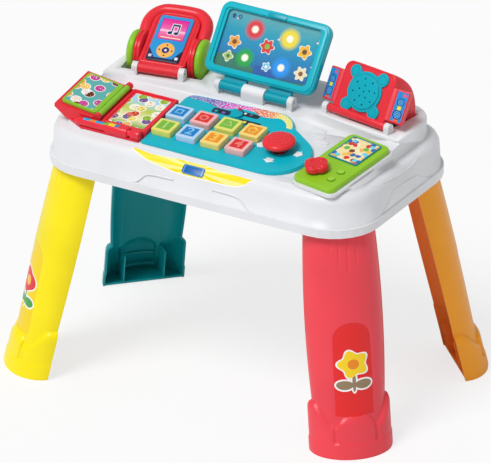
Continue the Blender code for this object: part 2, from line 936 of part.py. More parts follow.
base_outline = [point[:2] for point in body_ring(base_inset, 0.0)]
base_cover = plate("base_cover", base_outline, base_low, base_high)


def socket_ring(height, spare, side_x, side_y):
    """The outline of a leg's plug, closed across its open side and grown by some spare."""
    outward, sideways = leg_directions(side_x, side_y)
    centre = leg_centre(height, side_x, side_y)
    curve_points = leg_arc(height, plug_half_width + spare, plug_depth + spare, side_x, side_y)
    back = [tuple(centre - outward * spare - sideways * (plug_half_width + spare)),
            tuple(centre - outward * spare + sideways * (plug_half_width + spare))]
    return curve_points + back


sides = ((-1, -1), (1, -1), (-1, 1), (1, 1))
socket_roof = rim_bottom + plug_height + gap
for side_x, side_y in sides:
    fuse(base_cover, loft(f"socket_{side_x}_{side_y}", [
        socket_ring(base_high - base_thickness / 2, socket_clearance + socket_wall, side_x, side_y),
        socket_ring(socket_roof + socket_wall, socket_clearance + socket_wall, side_x, side_y)]))
for side_x, side_y in sides:
    cut(base_cover, loft(f"socket_room_{side_x}_{side_y}", [
        socket_ring(base_low - overrun, socket_clearance, side_x, side_y),
        socket_ring(socket_roof, socket_clearance, side_x, side_y)]))

bay_half_length = battery_length / 2 + contact_thickness + gap * 2
bay_half_width = battery_count * battery_pitch / 2 + gap
bay_end = bay_half_length + door_screw_room
bay_roof = base_high + gap * 2 + battery_radius * 2
door_screw_place = (bay_half_length + door_screw_room / 2, door_centre_y)
fuse(base_cover, block("battery_bay_walls",
                       (-bay_half_length - bay_wall, door_centre_y - bay_half_width - bay_wall, base_low + gap),
                       (bay_end + bay_wall, door_centre_y + bay_half_width + bay_wall, bay_roof + bay_wall)))
cut(base_cover, block("battery_bay_room",
                      (-bay_half_length, door_centre_y - bay_half_width, base_low - overrun),
                      (bay_end, door_centre_y + bay_half_width, bay_roof)))
fuse(base_cover, posts("door_post", [door_screw_place], boss_radius, base_high + gap, bay_roof + bay_wall / 2))
cut(base_cover, posts("door_post_bore", [door_screw_place], screw_radius + gap, base_high - gap,
                      screw_end + gap, None, 8))
cut(base_cover, posts("base_screw_holes", boss_places, screw_radius + gap, base_low - overrun,
                      base_high + overrun, None, 8))
paint(base_cover, white, 0.45)

battery_door = block("battery_door",
                     (-bay_half_length + gap, door_centre_y - bay_half_width + gap, base_low),
                     (bay_end - gap, door_centre_y + bay_half_width - gap, base_high))
cut(battery_door, posts("door_hole", [door_screw_place], screw_radius + gap, base_low - overrun,
                        base_high + overrun, None, 8))
paint(battery_door, white, 0.45)
screw("door_screw", door_screw_place)

battery_level = base_high + gap + battery_radius
for index in range(battery_count):
    row = door_centre_y + battery_pitch * (index - (battery_count - 1) / 2)
    battery = rod(f"battery_{index + 1}", battery_radius, (-battery_length / 2, row, battery_level),
                  (battery_length / 2, row, battery_level), None, 16)
    paint(battery, dark, 0.35, 0.2)
for side, label in ((-1, "left"), (1, "right")):
    near = side * (battery_length / 2 + gap)
    far = near + side * contact_thickness
    contact = block(f"battery_contact_{label}",
                    (min(near, far), door_centre_y - bay_half_width + gap, base_high + gap),
                    (max(near, far), door_centre_y + bay_half_width - gap, bay_roof - gap))
    paint(contact, steel, 0.3, 1.0)


# Keyboard panel on the desk, over an opening in the table top

panel_outline = (
    [(panel_left, panel_front)]
    + arc(lobe_x, lobe_s, lobe_radius, -90, 60, 12)
    + arc(back_corner_x, back_corner_s, back_corner_radius, 22, 80, 6)
    + arc(panel_left + left_corner_radius, left_corner_s, left_corner_radius, 92, 180, 5))
keyboard_panel = domed("keyboard_panel", panel_outline, gap, panel_top, panel_edge_round, desk, 2)
panel_under = panel_top - panel_skin
cut(keyboard_panel, plate("panel_hollow", grow(panel_outline, -panel_wall), -overrun, panel_under, desk))
bay_outline = [(x, max(s, bay_front)) for x, s in grow(panel_outline, -panel_wall - gap)]
cut(table_top, plate("keyboard_bay", bay_outline, -overrun * 2, overrun, desk))

key_places = [(key_first_x + column * key_pitch_x, key_first_s + row * key_pitch_s)
              for row in range(key_rows) for column in range(key_columns)]
key_room = key_width / 2 + key_clearance
for number, (x, s) in enumerate(key_places, start=1):
    cut(keyboard_panel, block(f"key_hole_{number}", (x - key_room, s - key_room, -overrun),
                              (x + key_room, s + key_room, panel_top + overrun), desk))

post_places = [(key_first_x + (column + 0.5) * key_pitch_x, key_first_s + row * key_pitch_s)
               for row in range(key_rows) for column in (0, key_columns - 2)]
board_low = board_top - board_thickness
stake_end = board_low - gap - board_thickness
fuse(keyboard_panel,
     posts("board_posts", post_places, board_post_radius, board_top + gap, panel_under + panel_skin / 2, desk),
     posts("board_stakes", post_places, stake_radius, stake_end + gap, board_top + gap * 2, desk, 10),
     posts("stake_heads", post_places, board_post_radius, stake_end, board_low - gap, desk))

key_colours = [green, blue, orange, red, blue, red, green, orange]
for number, (x, s) in enumerate(key_places, start=1):
    half = key_width / 2
    key = domed(f"key_{number}", rounded_rectangle(key_width, key_width, key_round, 2), key_bottom, key_top,
                key_edge_round, desk, 2)
    key.location = (x, s, 0.0)
    lug = block(f"key_lug_{number}", (-half + key_round, -half - key_lug, key_bottom - gap),
                (half - key_round, half + key_lug, key_bottom - gap + key_lug_thickness), key)
    stem = rod(f"key_stem_{number}", key_stem_radius, (0.0, 0.0, key_stem_end), (0.0, 0.0, key_bottom + gap),
               key, 10)
    fuse(key, lug, stem)
    paint(key, key_colours[number - 1], 0.2)


# Main board and the silicone contact mat under the keys

board_outline = [(x, max(s, bay_front + board_margin)) for x, s in grow(bay_outline, -board_margin)]
main_board = plate("main_board", board_outline, board_low, board_top, desk)
cut(main_board, posts("board_holes", post_places, stake_radius + gap, board_low - overrun,
                      board_top + overrun, desk, 10))
paint(main_board, (0.05, 0.30, 0.10), 0.4)

mat_low = board_top + gap
mat_high = mat_low + mat_thickness
mat_reach = key_width / 2 - key_round
contact_mat = block("contact_mat", (key_places[0][0] - mat_reach, key_places[0][1] - mat_reach, mat_low),
                    (key_places[-1][0] + mat_reach, key_places[-1][1] + mat_reach, mat_high), desk)
fuse(contact_mat, posts("domes", key_places, dome_radius, mat_low + mat_thickness / 2,
                        mat_high + dome_height, desk, 8, dome_top_radius))
cut(contact_mat, posts("mat_holes", post_places, board_post_radius + gap * 2, board_low,
                       mat_high + overrun, desk, 10))
paint(contact_mat, (0.75, 0.75, 0.72), 0.6)


# Gimbal: a ring that turns about X in two ears, and carries the stem's pins along Y

def add_gimbal(name, carrier, frame, place, ring_outer_radius, ring_inner_radius, ceiling):
    """Hang two ears from the carrier's underside and set the ring between them."""
    x, s, pivot = place
    centre = add_frame(f"{name}_frame", Matrix.Translation(place), frame)
    ring = posts(name, [(0.0, 0.0)], ring_outer_radius, -ring_height / 2, ring_height / 2, centre, 20)
    pin_end = ring_outer_radius + ear_gap + ring_ear
    pin = rod(f"{name}_pins", gimbal_pin_radius, (-pin_end, 0.0, 0.0), (pin_end, 0.0, 0.0), centre, 10)
    fuse(ring, pin)
    cut(ring, posts(f"{name}_room", [(0.0, 0.0)], ring_inner_radius, -ring_height, ring_height, centre, 20))
    cut(ring, rod(f"{name}_bore", gimbal_pin_radius + pin_clearance, (0.0, -pin_end, 0.0),
                  (0.0, pin_end, 0.0), centre, 10))
    for side in (-1, 1):
        near = side * (ring_outer_radius + ear_gap)
        far = side * pin_end
        fuse(carrier, block(f"{name}_ear_{side}", (min(near, far), -ring_height / 2, -ring_height / 2),
                            (max(near, far), ring_height / 2, ceiling - pivot + gap), centre))
    cut(carrier, rod(f"{name}_ear_bore", gimbal_pin_radius + pin_clearance,
                     (-pin_end - ring_ear, 0.0, 0.0), (pin_end + ring_ear, 0.0, 0.0), centre, 10))
    paint(ring, (0.85, 0.85, 0.83), 0.4)
    return centre


cut(keyboard_panel, posts("stick_hole", [(stick_x, stick_s)], stick_hole_radius, -overrun,
                          panel_top + overrun, desk, 24))
stick_frame = add_gimbal("joystick_gimbal", keyboard_panel, desk, (stick_x, stick_s, stick_pivot),
                         ring_outer, ring_inner, panel_under)
stick_rise = stick_disc_top - stick_disc_edge
stick_low_share, stick_edge_share, stick_outer_share, stick_inner_share = stick_disc_radius_shares
stick_outer_rise, stick_inner_rise = stick_disc_rise_shares
joystick = turned("joystick", [
    (0.0, stick_stem_end - stick_pivot),
    (stick_stem_radius, stick_stem_end - stick_pivot),
    (stick_stem_radius, stick_neck_low - stick_pivot),
    (stick_neck_radius, stick_neck_low - stick_pivot),
    (stick_neck_radius, stick_disc_low - stick_pivot),
    (stick_disc_radius * stick_low_share, stick_disc_low - stick_pivot),
    (stick_disc_radius, (stick_disc_low + stick_disc_edge) / 2 - stick_pivot),
    (stick_disc_radius * stick_edge_share, stick_disc_edge - stick_pivot),
    (stick_disc_radius * stick_outer_share, stick_disc_edge + stick_rise * stick_outer_rise - stick_pivot),
    (stick_disc_radius * stick_inner_share, stick_disc_edge + stick_rise * stick_inner_rise - stick_pivot),
    (0.0, stick_disc_top - stick_pivot)], stick_frame, 28)
stem_pin_end = ring_outer - gap
fuse(joystick, rod("joystick_pins", gimbal_pin_radius, (0.0, -stem_pin_end, 0.0), (0.0, stem_pin_end, 0.0),
                   stick_frame, 10))
paint(joystick, red, 0.25)


# Mode selector: a small knob with a pointer, on a shaft through the panel

selector_frame = add_frame("selector_frame", Matrix.Translation((selector_x, selector_s, 0.0)), desk)
selector_low = panel_top + gap
selector_high = selector_low + selector_height
mode_selector = posts("mode_selector", [(0.0, 0.0)], selector_radius, selector_low, selector_high,
                      selector_frame, 20)
arm = block("selector_arm", (-selector_arm_width / 2, 0.0, selector_low),
            (selector_arm_width / 2, selector_arm_length, selector_high), selector_frame)
shaft = posts("selector_shaft", [(0.0, 0.0)], selector_shaft_radius, selector_shaft_end,
              selector_low + gap, selector_frame)
clip = posts("selector_clip", [(0.0, 0.0)], selector_clip_radius, selector_shaft_end,
             panel_under - gap, selector_frame)
fuse(mode_selector, arm, shaft, clip)
paint(mode_selector, turquoise, 0.3)
cut(keyboard_panel, posts("selector_hole", [(selector_x, selector_s)], selector_shaft_radius + gap,
                          -overrun, panel_top + overrun, desk, 16))
selector_tip = posts("selector_tip", [(0.0, selector_arm_length - selector_tip_radius * 1.6)],
                     selector_tip_radius, selector_high + gap, selector_high + gap + selector_tip_height,
                     selector_frame, 14)
paint(selector_tip, red, 0.3)
paint(keyboard_panel, turquoise, 0.3)


# Game console in its tray

tray_outline = rounded_rectangle(console_width + tray_margin * 2, console_length + tray_margin * 2,
                                 console_corner + tray_margin)
fuse(table_top, plate("console_tray", tray_outline, -wall / 2, tray_thickness, console_frame))
cut(table_top, posts("tray_hole", [(dpad_x, dpad_s)], dpad_ring_outer + ear_gap * 2 + ring_ear * 2,
                     -overrun * 2, tray_thickness + overrun, console_frame, 20))
console_outline = rounded_rectangle(console_width, console_length, console_corner)
console_housing = domed("console_housing", console_outline, tray_thickness + gap, console_top,
                        console_round, console_frame)
console_under = console_top - console_skin
cut(console_housing, plate("console_hollow", grow(console_outline, -console_wall), -overrun,
                           console_under, console_frame))
cut(console_housing, posts("dpad_hole", [(dpad_x, dpad_s)], dpad_hole_radius, -overrun,
                           console_top + overrun, console_frame, 20))
dpad_frame = add_gimbal("dpad_gimbal", console_housing, console_frame, (dpad_x, dpad_s, dpad_pivot),
                        dpad_ring_outer, dpad_ring_inner, console_under)
fuse(console_housing, posts("console_buttons", [(button_x, button_s), (button_x, button_s - button_pitch)],
                            button_radius, console_top - gap, console_top + button_height, console_frame, 18))
paint(console_housing, green, 0.3)
console_screen = plate("console_screen", rounded_rectangle(screen_width, screen_length, screen_corner),
                       console_top + gap, console_top + gap + screen_thickness, console_frame)
console_screen.location = (0.0, screen_s, 0.0)
paint(console_screen, teal, 0.25)

dpad_half = dpad_span / 2
dpad_side = dpad_arm / 2
cross = [(dpad_side, -dpad_half), (dpad_side, -dpad_side), (dpad_half, -dpad_side), (dpad_half, dpad_side),
         (dpad_side, dpad_side), (dpad_side, dpad_half), (-dpad_side, dpad_half), (-dpad_side, dpad_side),
         (-dpad_half, dpad_side), (-dpad_half, -dpad_side), (-dpad_side, -dpad_side), (-dpad_side, -dpad_half)]
console_dpad = domed("console_dpad", cross, dpad_low - dpad_pivot, dpad_top - dpad_pivot, dpad_round,
                     dpad_frame, 2)
dpad_neck = posts("dpad_neck", [(0.0, 0.0)], dpad_neck_radius, dpad_stem_end - dpad_pivot,
                  dpad_low + dpad_round - dpad_pivot, dpad_frame, 16)
dpad_pin_end = dpad_ring_outer - gap
dpad_pins = rod("dpad_pins", gimbal_pin_radius, (0.0, -dpad_pin_end, 0.0), (0.0, dpad_pin_end, 0.0),
                dpad_frame, 10)
fuse(console_dpad, dpad_neck, dpad_pins)
paint(console_dpad, red, 0.25)


# Book: a red base with a raised left wing, and a green page that turns about the spine

section = add_frame("book_section_frame", Matrix.Rotation(math.radians(90), 4, 'X'), desk)
left_frame = add_frame("book_left_frame", Matrix.Translation((spine_x, 0.0, spine_height))
                       @ Matrix.Rotation(left_wing_tilt, 4, 'Y'), desk)


def left_point(along, above):
    """A point of the tilted left wing, as X and height above the desk."""
    return (spine_x - along * math.cos(left_wing_tilt) + above * math.sin(left_wing_tilt),
            spine_height + along * math.sin(left_wing_tilt) + above * math.cos(left_wing_tilt))


spine_floor = spine_height - spine_radius - gap * 2
wing_top = -page_thickness / 2 - gap
cover_right = spine_x + cover_gap + cover_width
wing_foot_x = left_point(left_wing_width * left_wing_foot_share, 0.0)[0]
base_section = [
    (wing_foot_x, gap), (cover_right, gap), (cover_right, cover_top), (spine_x + cover_gap, cover_top),
    (spine_x + cover_gap, spine_floor), (spine_x - left_wing_inner, spine_floor),
    left_point(left_wing_inner, wing_top), left_point(left_wing_width, wing_top),
    left_point(left_wing_width, wing_top - left_wing_thickness)]
book_back = book_front + book_depth
book_base = plate("book_base", base_section, -book_back, -book_front, section)
round_edges(book_base, cover_round, 2, math.radians(50))
cut(book_base, block("cover_recess",
                     (spine_x + cover_gap + cover_rim, book_front + cover_rim, cover_top - cover_rim_depth),
                     (cover_right - cover_rim, book_back - cover_rim, cover_top + overrun), desk))
for near, far in ((book_front, book_front + knob_length), (book_back - knob_length, book_back)):
    fuse(book_base, rod(f"spine_knob_{near:.3f}", knob_radius, (spine_x, near, spine_height),
                        (spine_x, far, spine_height), desk, 16))
apron_back = book_front + cover_round * 2
fuse(book_base, plate("apron", [
    (apron_left, apron_back), (apron_left + (apron_right - apron_left) * apron_slant_share, apron_front),
    (apron_right, apron_front), (apron_right, apron_back)], gap, gap + apron_thickness, desk))
cut(book_base, rod("spine_bore", pin_radius + pin_clearance, (spine_x, book_front - overrun, spine_height),
                   (spine_x, book_back + overrun, spine_height), desk, 12))
paint(book_base, red, 0.3)
book_pin = rod("book_pin", pin_radius, (spine_x, book_front + gap, spine_height),
               (spine_x, book_back - gap, spine_height), desk, 12)
paint(book_pin, steel, 0.25, 1.0)

page_middle = (book_front + book_back) / 2
page_outline = rounded_rectangle(page_width - page_arm, page_depth, page_corner, 4,
                                 (-(page_width + page_arm) / 2, page_middle))
book_page = plate("book_page", page_outline, -page_thickness / 2, page_thickness / 2, left_frame)
round_edges(book_page, page_round)
page_barrel = rod("page_barrel", spine_radius, (0.0, page_middle - page_depth / 2, 0.0),
                  (0.0, page_middle + page_depth / 2, 0.0), left_frame, 16)
page_web = block("page_web", (-page_arm * 2, page_middle - page_depth / 2 + page_corner, -page_thickness / 4),
                 (0.0, page_middle + page_depth / 2 - page_corner, page_thickness / 4), left_frame)
fuse(book_page, page_web, page_barrel)
cut(book_page, rod("page_bore", pin_radius + pin_clearance, (0.0, book_front, 0.0),
                   (0.0, book_back, 0.0), left_frame, 12))
paint(book_page, green, 0.3)

pen_height = gap + apron_thickness + gap + pen_cap_radius
pen_frame = add_frame("pen_frame", Matrix.Translation((0.0, pen_s, pen_height)), desk)
book_pen = turned("book_pen", [
    (0.0, pen_tip_x), (pen_tip_radius, pen_tip_x), (pen_body_radius, pen_tip_x + pen_tip_length),
    (pen_body_radius, pen_body_x), (pen_cap_radius, pen_body_x), (pen_cap_radius, pen_cap_x),
    (pen_neck_radius, pen_cap_x), (pen_neck_radius, pen_neck_x), (pen_knob_radius, pen_neck_x),
    (pen_knob_radius, pen_end_x), (0.0, pen_end_x)], pen_frame, 16, 'X')
paint(book_pen, red, 0.3)


# Tablet: bezel, back with two hinge barrels, window, picture, lamps and latch

tablet_outline = rounded_rectangle(tablet_width, tablet_length, tablet_corner, 6,
                                   (0.0, tablet_start + tablet_length / 2))
window_outline = rounded_rectangle(window_width, window_length, window_corner, 4,
                                   (0.0, tablet_start + tablet_length / 2))
pane_outline = grow(window_outline, window_lap)
tablet_frame = domed("tablet_frame", tablet_outline, tablet_split, tablet_face, tablet_round,
                     tablet_face_frame)
cut(tablet_frame, plate("tablet_front_hollow", grow(tablet_outline, -tablet_wall), -overrun,
                        tablet_face - tablet_lip, tablet_face_frame))
cut(tablet_frame, plate("tablet_window_hole", window_outline, -overrun, tablet_face + overrun,
                        tablet_face_frame))
latch_middle = tablet_start + tablet_length - latch_length / 2 - gap
tablet_latch = plate("tablet_latch", rounded_rectangle(latch_width, latch_length, latch_corner, 3,
                                                      (0.0, latch_middle)),
                     tablet_face - gap, tablet_face + latch_height, tablet_face_frame)
fuse(tablet_frame, tablet_latch)
paint(tablet_frame, turquoise, 0.25)
window_high = tablet_face - tablet_lip - gap
window_low = window_high - window_thickness
tablet_window = plate("tablet_window", pane_outline, window_low, window_high, tablet_face_frame)
paint(tablet_window, clear, 0.1, 0.0, 0.3)
picture_high = window_low - gap
picture_low = picture_high - picture_thickness
tablet_picture = plate("tablet_picture", pane_outline, picture_low, picture_high, tablet_face_frame)
tablet_middle = tablet_start + tablet_length / 2
lamp_places = [(share_x * window_width, tablet_middle + share_y * window_length)
               for share_x, share_y in lamp_place_shares]
paint(tablet_picture, blue, 0.4)
lights_high = picture_low - gap - lamp_height
lights_low = lights_high - lights_thickness
tablet_lights = block("tablet_lights", (-lights_width / 2, tablet_middle - lights_length / 2, lights_low),
                      (lights_width / 2, tablet_middle + lights_length / 2, lights_high), tablet_face_frame)
fuse(tablet_lights, posts("lamps", lamp_places, lamp_radius, lights_high - lights_thickness / 2,
                          lights_high + lamp_height, tablet_face_frame, 12))
paint(tablet_lights, (0.05, 0.30, 0.10), 0.4)

tablet_back = domed("tablet_back", tablet_outline, tablet_split - gap, tablet_rear, tablet_round,
                    tablet_face_frame)
cut(tablet_back, plate("tablet_back_hollow", grow(tablet_outline, -tablet_wall), tablet_rear + tablet_wall,
                       tablet_split + overrun, tablet_face_frame))
board_corner_places = [(side_x * (lights_width / 2 - tablet_wall), tablet_middle
                        + side_y * (lights_length / 2 - tablet_wall)) for side_x, side_y in sides]
fuse(tablet_back, posts("lights_posts", board_corner_places, board_post_radius, tablet_rear + tablet_wall / 2,
                        lights_low - gap, tablet_face_frame, 10))
barrel_near = hinge_cover_half_width + ear_gap
barrel_far = tablet_ear_half_span - ear_width / 2 - ear_gap
for side in (-1, 1):
    left = min(side * barrel_near, side * barrel_far)
    right = max(side * barrel_near, side * barrel_far)
    fuse(tablet_back, block(f"tablet_neck_{side}", (left + gap, 0.0, tablet_rear + gap),
                            (right - gap, tablet_neck_end, tablet_split - gap * 2), tablet_face_frame))
    fuse(tablet_back, rod(f"tablet_barrel_{side}", tablet_barrel_radius, (left, 0.0, 0.0),
                          (right, 0.0, 0.0), tablet_face_frame, 20))
cut(tablet_back, rod("tablet_barrel_bore", pin_radius + pin_clearance, (-tablet_ear_half_span, 0.0, 0.0),
                     (tablet_ear_half_span, 0.0, 0.0), tablet_face_frame, 12))
paint(tablet_back, turquoise, 0.25)

hinge_cover = knuckle("hinge_cover", hinge_cover_radius, gap - tablet_axis, -hinge_cover_half_width,
                      hinge_cover_half_width, tablet_side)
cut(hinge_cover, rod("hinge_cover_bore", pin_radius + pin_clearance, (-hinge_cover_half_width * 2, 0.0, 0.0),
                     (hinge_cover_half_width * 2, 0.0, 0.0), tablet_hinge, 12))
paint(hinge_cover, white, 0.3)


# Headphones: housing with its back cover, head band, two ear cups, music player panel

def arch_outline(half_width, low, high, top_radius, low_radius, steps=5):
    """A panel outline with large round corners at its far end."""
    return (arc(half_width - low_radius, low + low_radius, low_radius, -90, 0, 3)
            + arc(half_width - top_radius, high - top_radius, top_radius, 0, 90, steps)
            + arc(top_radius - half_width, high - top_radius, top_radius, 90, 180, steps)
            + arc(low_radius - half_width, low + low_radius, low_radius, 180, 270, 3))


phones_outline = arch_outline(phones_half_width, phones_low, phones_high, phones_corner, phones_foot_corner)
headphones_housing = domed("headphones_housing", phones_outline, phones_rear, phones_face, phones_round,
                           phones_face_frame, 2)
cut(headphones_housing, plate("headphones_hollow", grow(phones_outline, -phones_wall), phones_rear - overrun,
                              phones_face - phones_wall, phones_face_frame))
phones_barrel_end = phones_ear_half_span - ear_width / 2 - ear_gap
fuse(headphones_housing, block("headphones_neck", (gap - phones_barrel_end, 0.0, -phones_neck_depth),
                               (phones_barrel_end - gap, phones_low + phones_wall - gap, phones_face - gap),
                               phones_face_frame))
fuse(headphones_housing, rod("headphones_barrel", phones_barrel_radius, (-phones_barrel_end, 0.0, 0.0),
                             (phones_barrel_end, 0.0, 0.0), phones_face_frame, 20))
cut(headphones_housing, rod("headphones_barrel_bore", pin_radius + pin_clearance,
                            (-phones_ear_half_span, 0.0, 0.0), (phones_ear_half_span, 0.0, 0.0),
                            phones_face_frame, 12))
paint(headphones_housing, red, 0.3)
headphones_back = domed("headphones_back", phones_outline, phones_rear - gap,
                        phones_rear - gap - phones_cover_thickness, phones_round, phones_face_frame, 2)
paint(headphones_back, red, 0.3)

band_turn = band_half_width - band_corner
band_path = ([(band_half_width, band_start)] + arc(band_turn, band_high - band_corner, band_corner, 0, 90, 6)
             + arc(-band_turn, band_high - band_corner, band_corner, 90, 180, 6)
             + [(-band_half_width, band_start)])
headphones_band = tube("headphones_band", [(x, y, band_level) for x, y in band_path], band_radius,
                       phones_face_frame)
paint(headphones_band, red, 0.3)

cup_frame = add_frame("cup_frame", Matrix.Translation((0.0, cup_along, cup_level)), phones_face_frame)
for side, label in ((-1, "left"), (1, "right")):
    cup = turned(f"ear_cup_{label}", [
        (0.0, side * cup_inner), (cup_radius, side * cup_inner), (cup_radius, side * cup_edge),
        (cup_radius * cup_radius_shares[0], side * (cup_edge + (cup_outer - cup_edge) * cup_rise_share)),
        (cup_radius * cup_radius_shares[1], side * cup_outer), (cup_hub_radius, side * cup_outer),
        (cup_hub_radius * cup_hub_share, side * (cup_outer - phones_face)), (0.0, side * (cup_outer - phones_face))],
        cup_frame, 28, 'X')
    paint(cup, green, 0.3)
music_panel = plate("music_panel", rounded_rectangle(music_width, music_length, music_corner, 4,
                                                     (0.0, music_low + music_length / 2)),
                    phones_face + gap, phones_face + gap + music_thickness, phones_face_frame)
paint(music_panel, blue, 0.3)


# Speaker: a sector-shaped housing on its hinge, grille, driver and two wings

def sector(radius, start, end):
    return [(0.0, 0.0)] + arc(0.0, 0.0, radius, math.degrees(start), math.degrees(end), speaker_arc_steps)


speaker_housing = plate("speaker_housing", sector(speaker_radius, speaker_bottom_angle, speaker_tilt),
                        -speaker_half_width, speaker_half_width, speaker_side)
round_edges(speaker_housing, cover_round)
inner_sector = grow(sector(speaker_radius, speaker_inner_angle, speaker_tilt), -speaker_wall)
cut(speaker_housing, plate("speaker_hollow", inner_sector, speaker_wall - speaker_half_width,
                           speaker_half_width - speaker_wall, speaker_side))
cut(speaker_housing, posts("sound_hole", [(0.0, grille_along)], sound_hole_radius, -speaker_wall - overrun,
                           overrun, speaker_face_frame, 24))
speaker_barrel_end = speaker_ear_half_span - ear_width / 2 - ear_gap
fuse(speaker_housing, rod("speaker_barrel", speaker_barrel_radius, (-speaker_barrel_end, 0.0, 0.0),
                          (speaker_barrel_end, 0.0, 0.0), speaker_hinge, 20))
cut(speaker_housing, rod("speaker_barrel_bore", pin_radius + pin_clearance,
                         (-speaker_ear_half_span, 0.0, 0.0), (speaker_ear_half_span, 0.0, 0.0),
                         speaker_hinge, 12))
paint(speaker_housing, red, 0.3)

grille_outline = []
for step in range(grille_steps):
    angle = math.tau * step / grille_steps
    reach = grille_radius + (grille_lobe_reach - grille_radius) * math.sin(2 * angle) ** grille_lobe_sharpness
    grille_outline.append((reach * math.cos(angle), grille_along + reach * math.sin(angle)))
speaker_grille = plate("speaker_grille", grille_outline, gap, gap + grille_thickness, speaker_face_frame)
hole_places = []
for count, ring_radius in ((grille_inner_holes, grille_hole_ring), (grille_outer_holes, grille_outer_ring)):
    for index in range(count):
        angle = math.tau * index / count
        hole_places.append((ring_radius * math.cos(angle), grille_along + ring_radius * math.sin(angle)))
cut(speaker_grille, posts("grille_holes", hole_places, grille_hole_radius, -overrun, overrun * 2,
                          speaker_face_frame, 8))
paint(speaker_grille, turquoise, 0.3)

driver_front = -speaker_wall - gap
magnet_share, frame_share, cone_share, cap_share = driver_depth_shares
speaker_driver = turned("speaker_driver", [
    (0.0, driver_front - driver_depth), (driver_magnet_radius, driver_front - driver_depth),
    (driver_magnet_radius, driver_front - driver_depth * magnet_share),
    (driver_radius, driver_front - driver_depth * frame_share),
    (driver_radius, driver_front), (driver_radius * driver_cone_share, driver_front),
    (driver_radius * driver_centre_share, driver_front - driver_depth * cone_share),
    (0.0, driver_front - driver_depth * cap_share)],
    speaker_face_frame, 24)
speaker_driver.location = (0.0, grille_along, 0.0)
paint(speaker_driver, dark, 0.5)

for side, label in ((-1, "left"), (1, "right")):
    wing_frame = add_frame(f"speaker_wing_frame_{label}", Matrix.Translation((side * wing_start, 0.0, 0.0))
                           @ Matrix.Rotation(side * wing_turn, 4, 'Y'), speaker_face_frame)
    wing = block(f"speaker_wing_{label}", (min(0.0, side * wing_width), wing_low, -wing_thickness),
                 (max(0.0, side * wing_width), wing_high, 0.0), wing_frame)
    round_edges(wing, wing_round)
    paint(wing, red, 0.3)

paint(table_top, white, 0.3)
bpy.context.view_layer.update()
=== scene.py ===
import math

import bpy
from mathutils import Matrix, Vector


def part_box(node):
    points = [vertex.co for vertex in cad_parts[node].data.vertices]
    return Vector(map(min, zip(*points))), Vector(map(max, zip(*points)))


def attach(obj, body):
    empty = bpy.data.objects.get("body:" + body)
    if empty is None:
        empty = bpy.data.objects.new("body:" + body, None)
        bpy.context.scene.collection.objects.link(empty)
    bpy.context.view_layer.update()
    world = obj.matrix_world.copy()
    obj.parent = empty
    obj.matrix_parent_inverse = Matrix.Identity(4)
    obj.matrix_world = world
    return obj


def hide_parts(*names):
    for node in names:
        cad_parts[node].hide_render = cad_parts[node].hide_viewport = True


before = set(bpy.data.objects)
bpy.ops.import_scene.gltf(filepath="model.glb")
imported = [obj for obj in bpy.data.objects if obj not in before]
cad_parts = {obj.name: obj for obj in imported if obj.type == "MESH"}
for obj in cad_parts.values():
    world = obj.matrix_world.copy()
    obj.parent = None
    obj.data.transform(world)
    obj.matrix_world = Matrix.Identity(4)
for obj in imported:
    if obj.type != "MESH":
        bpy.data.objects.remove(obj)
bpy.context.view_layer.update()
bpy.context.scene.view_settings.view_transform = "Standard"


# The camera: a long lens far off, so the table is seen almost without perspective, from
# the front right and from above, as in the photograph.
camera_turn = math.radians(30.0511)
camera_rise = math.radians(26.1468)
camera_roll = math.radians(0.1956)
camera_far = 20.0
camera_target = Vector((0.0, 0.0, 0.2))

away = Vector((math.sin(camera_turn) * math.cos(camera_rise),
    -math.cos(camera_turn) * math.cos(camera_rise), math.sin(camera_rise)))
right_level = Vector((math.cos(camera_turn), math.sin(camera_turn), 0.0))
up_level = away.cross(right_level)
right_side = right_level * math.cos(camera_roll) + up_level * math.sin(camera_roll)
up_side = up_level * math.cos(camera_roll) - right_level * math.sin(camera_roll)
photo_width = 491
lens_pixels = 14781.618
lens = bpy.data.cameras.new("camera")
lens.sensor_width = 36.0
lens.lens = lens_pixels * 36.0 / photo_width
lens.shift_x = -0.8865 / photo_width
lens.shift_y = -1.1158 / photo_width
lens.clip_end = 100.0
camera = bpy.data.objects.new("camera", lens)
bpy.context.collection.objects.link(camera)
turn = Matrix((right_side, up_side, away)).transposed().to_4x4()
camera.matrix_world = Matrix.Translation(camera_target + away * camera_far) @ turn
bpy.context.scene.camera = camera


# The studio: a white floor and white surroundings, an even sky, and one broad soft lamp
# high in front. The floor is a plain sheet that keeps the table's shadow.
def shade(red, green, blue):
    """A colour written as it looks on a screen, from 0 to 255."""
    parts = [value / 255 for value in (red, green, blue)]
    return tuple(part / 12.92 if part <= 0.04045 else ((part + 0.055) / 1.055) ** 2.4
        for part in parts) + (1.0,)


def add_node(tree, kind, inputs=()):
    """A node of a material or of the world, with the values or the links of its inputs."""
    node = tree.nodes.new(f"ShaderNode{kind}")
    for socket, value in inputs:
        if isinstance(value, bpy.types.NodeSocket):
            tree.links.new(value, node.inputs[socket])
        else:
            node.inputs[socket].default_value = value
    return node


world = bpy.data.worlds.new("studio")
bpy.context.scene.world = world
world.use_nodes = True
tree = world.node_tree
tree.nodes.clear()
white = (1.0, 1.0, 1.0, 1.0)
sky = add_node(tree, "Background", [("Color", white), ("Strength", 0.44)])
paper = add_node(tree, "Background", [("Color", white), ("Strength", 1.0)])
ray = add_node(tree, "LightPath").outputs
both = add_node(tree, "Math", [(0, ray["Is Camera Ray"]), (1, ray["Is Transmission Ray"])])
both.operation = "MAXIMUM"
pick = add_node(tree, "MixShader", [(0, both.outputs[0]), (1, sky.outputs[0]),
    (2, paper.outputs[0])])
add_node(tree, "OutputWorld", [("Surface", pick.outputs[0])])

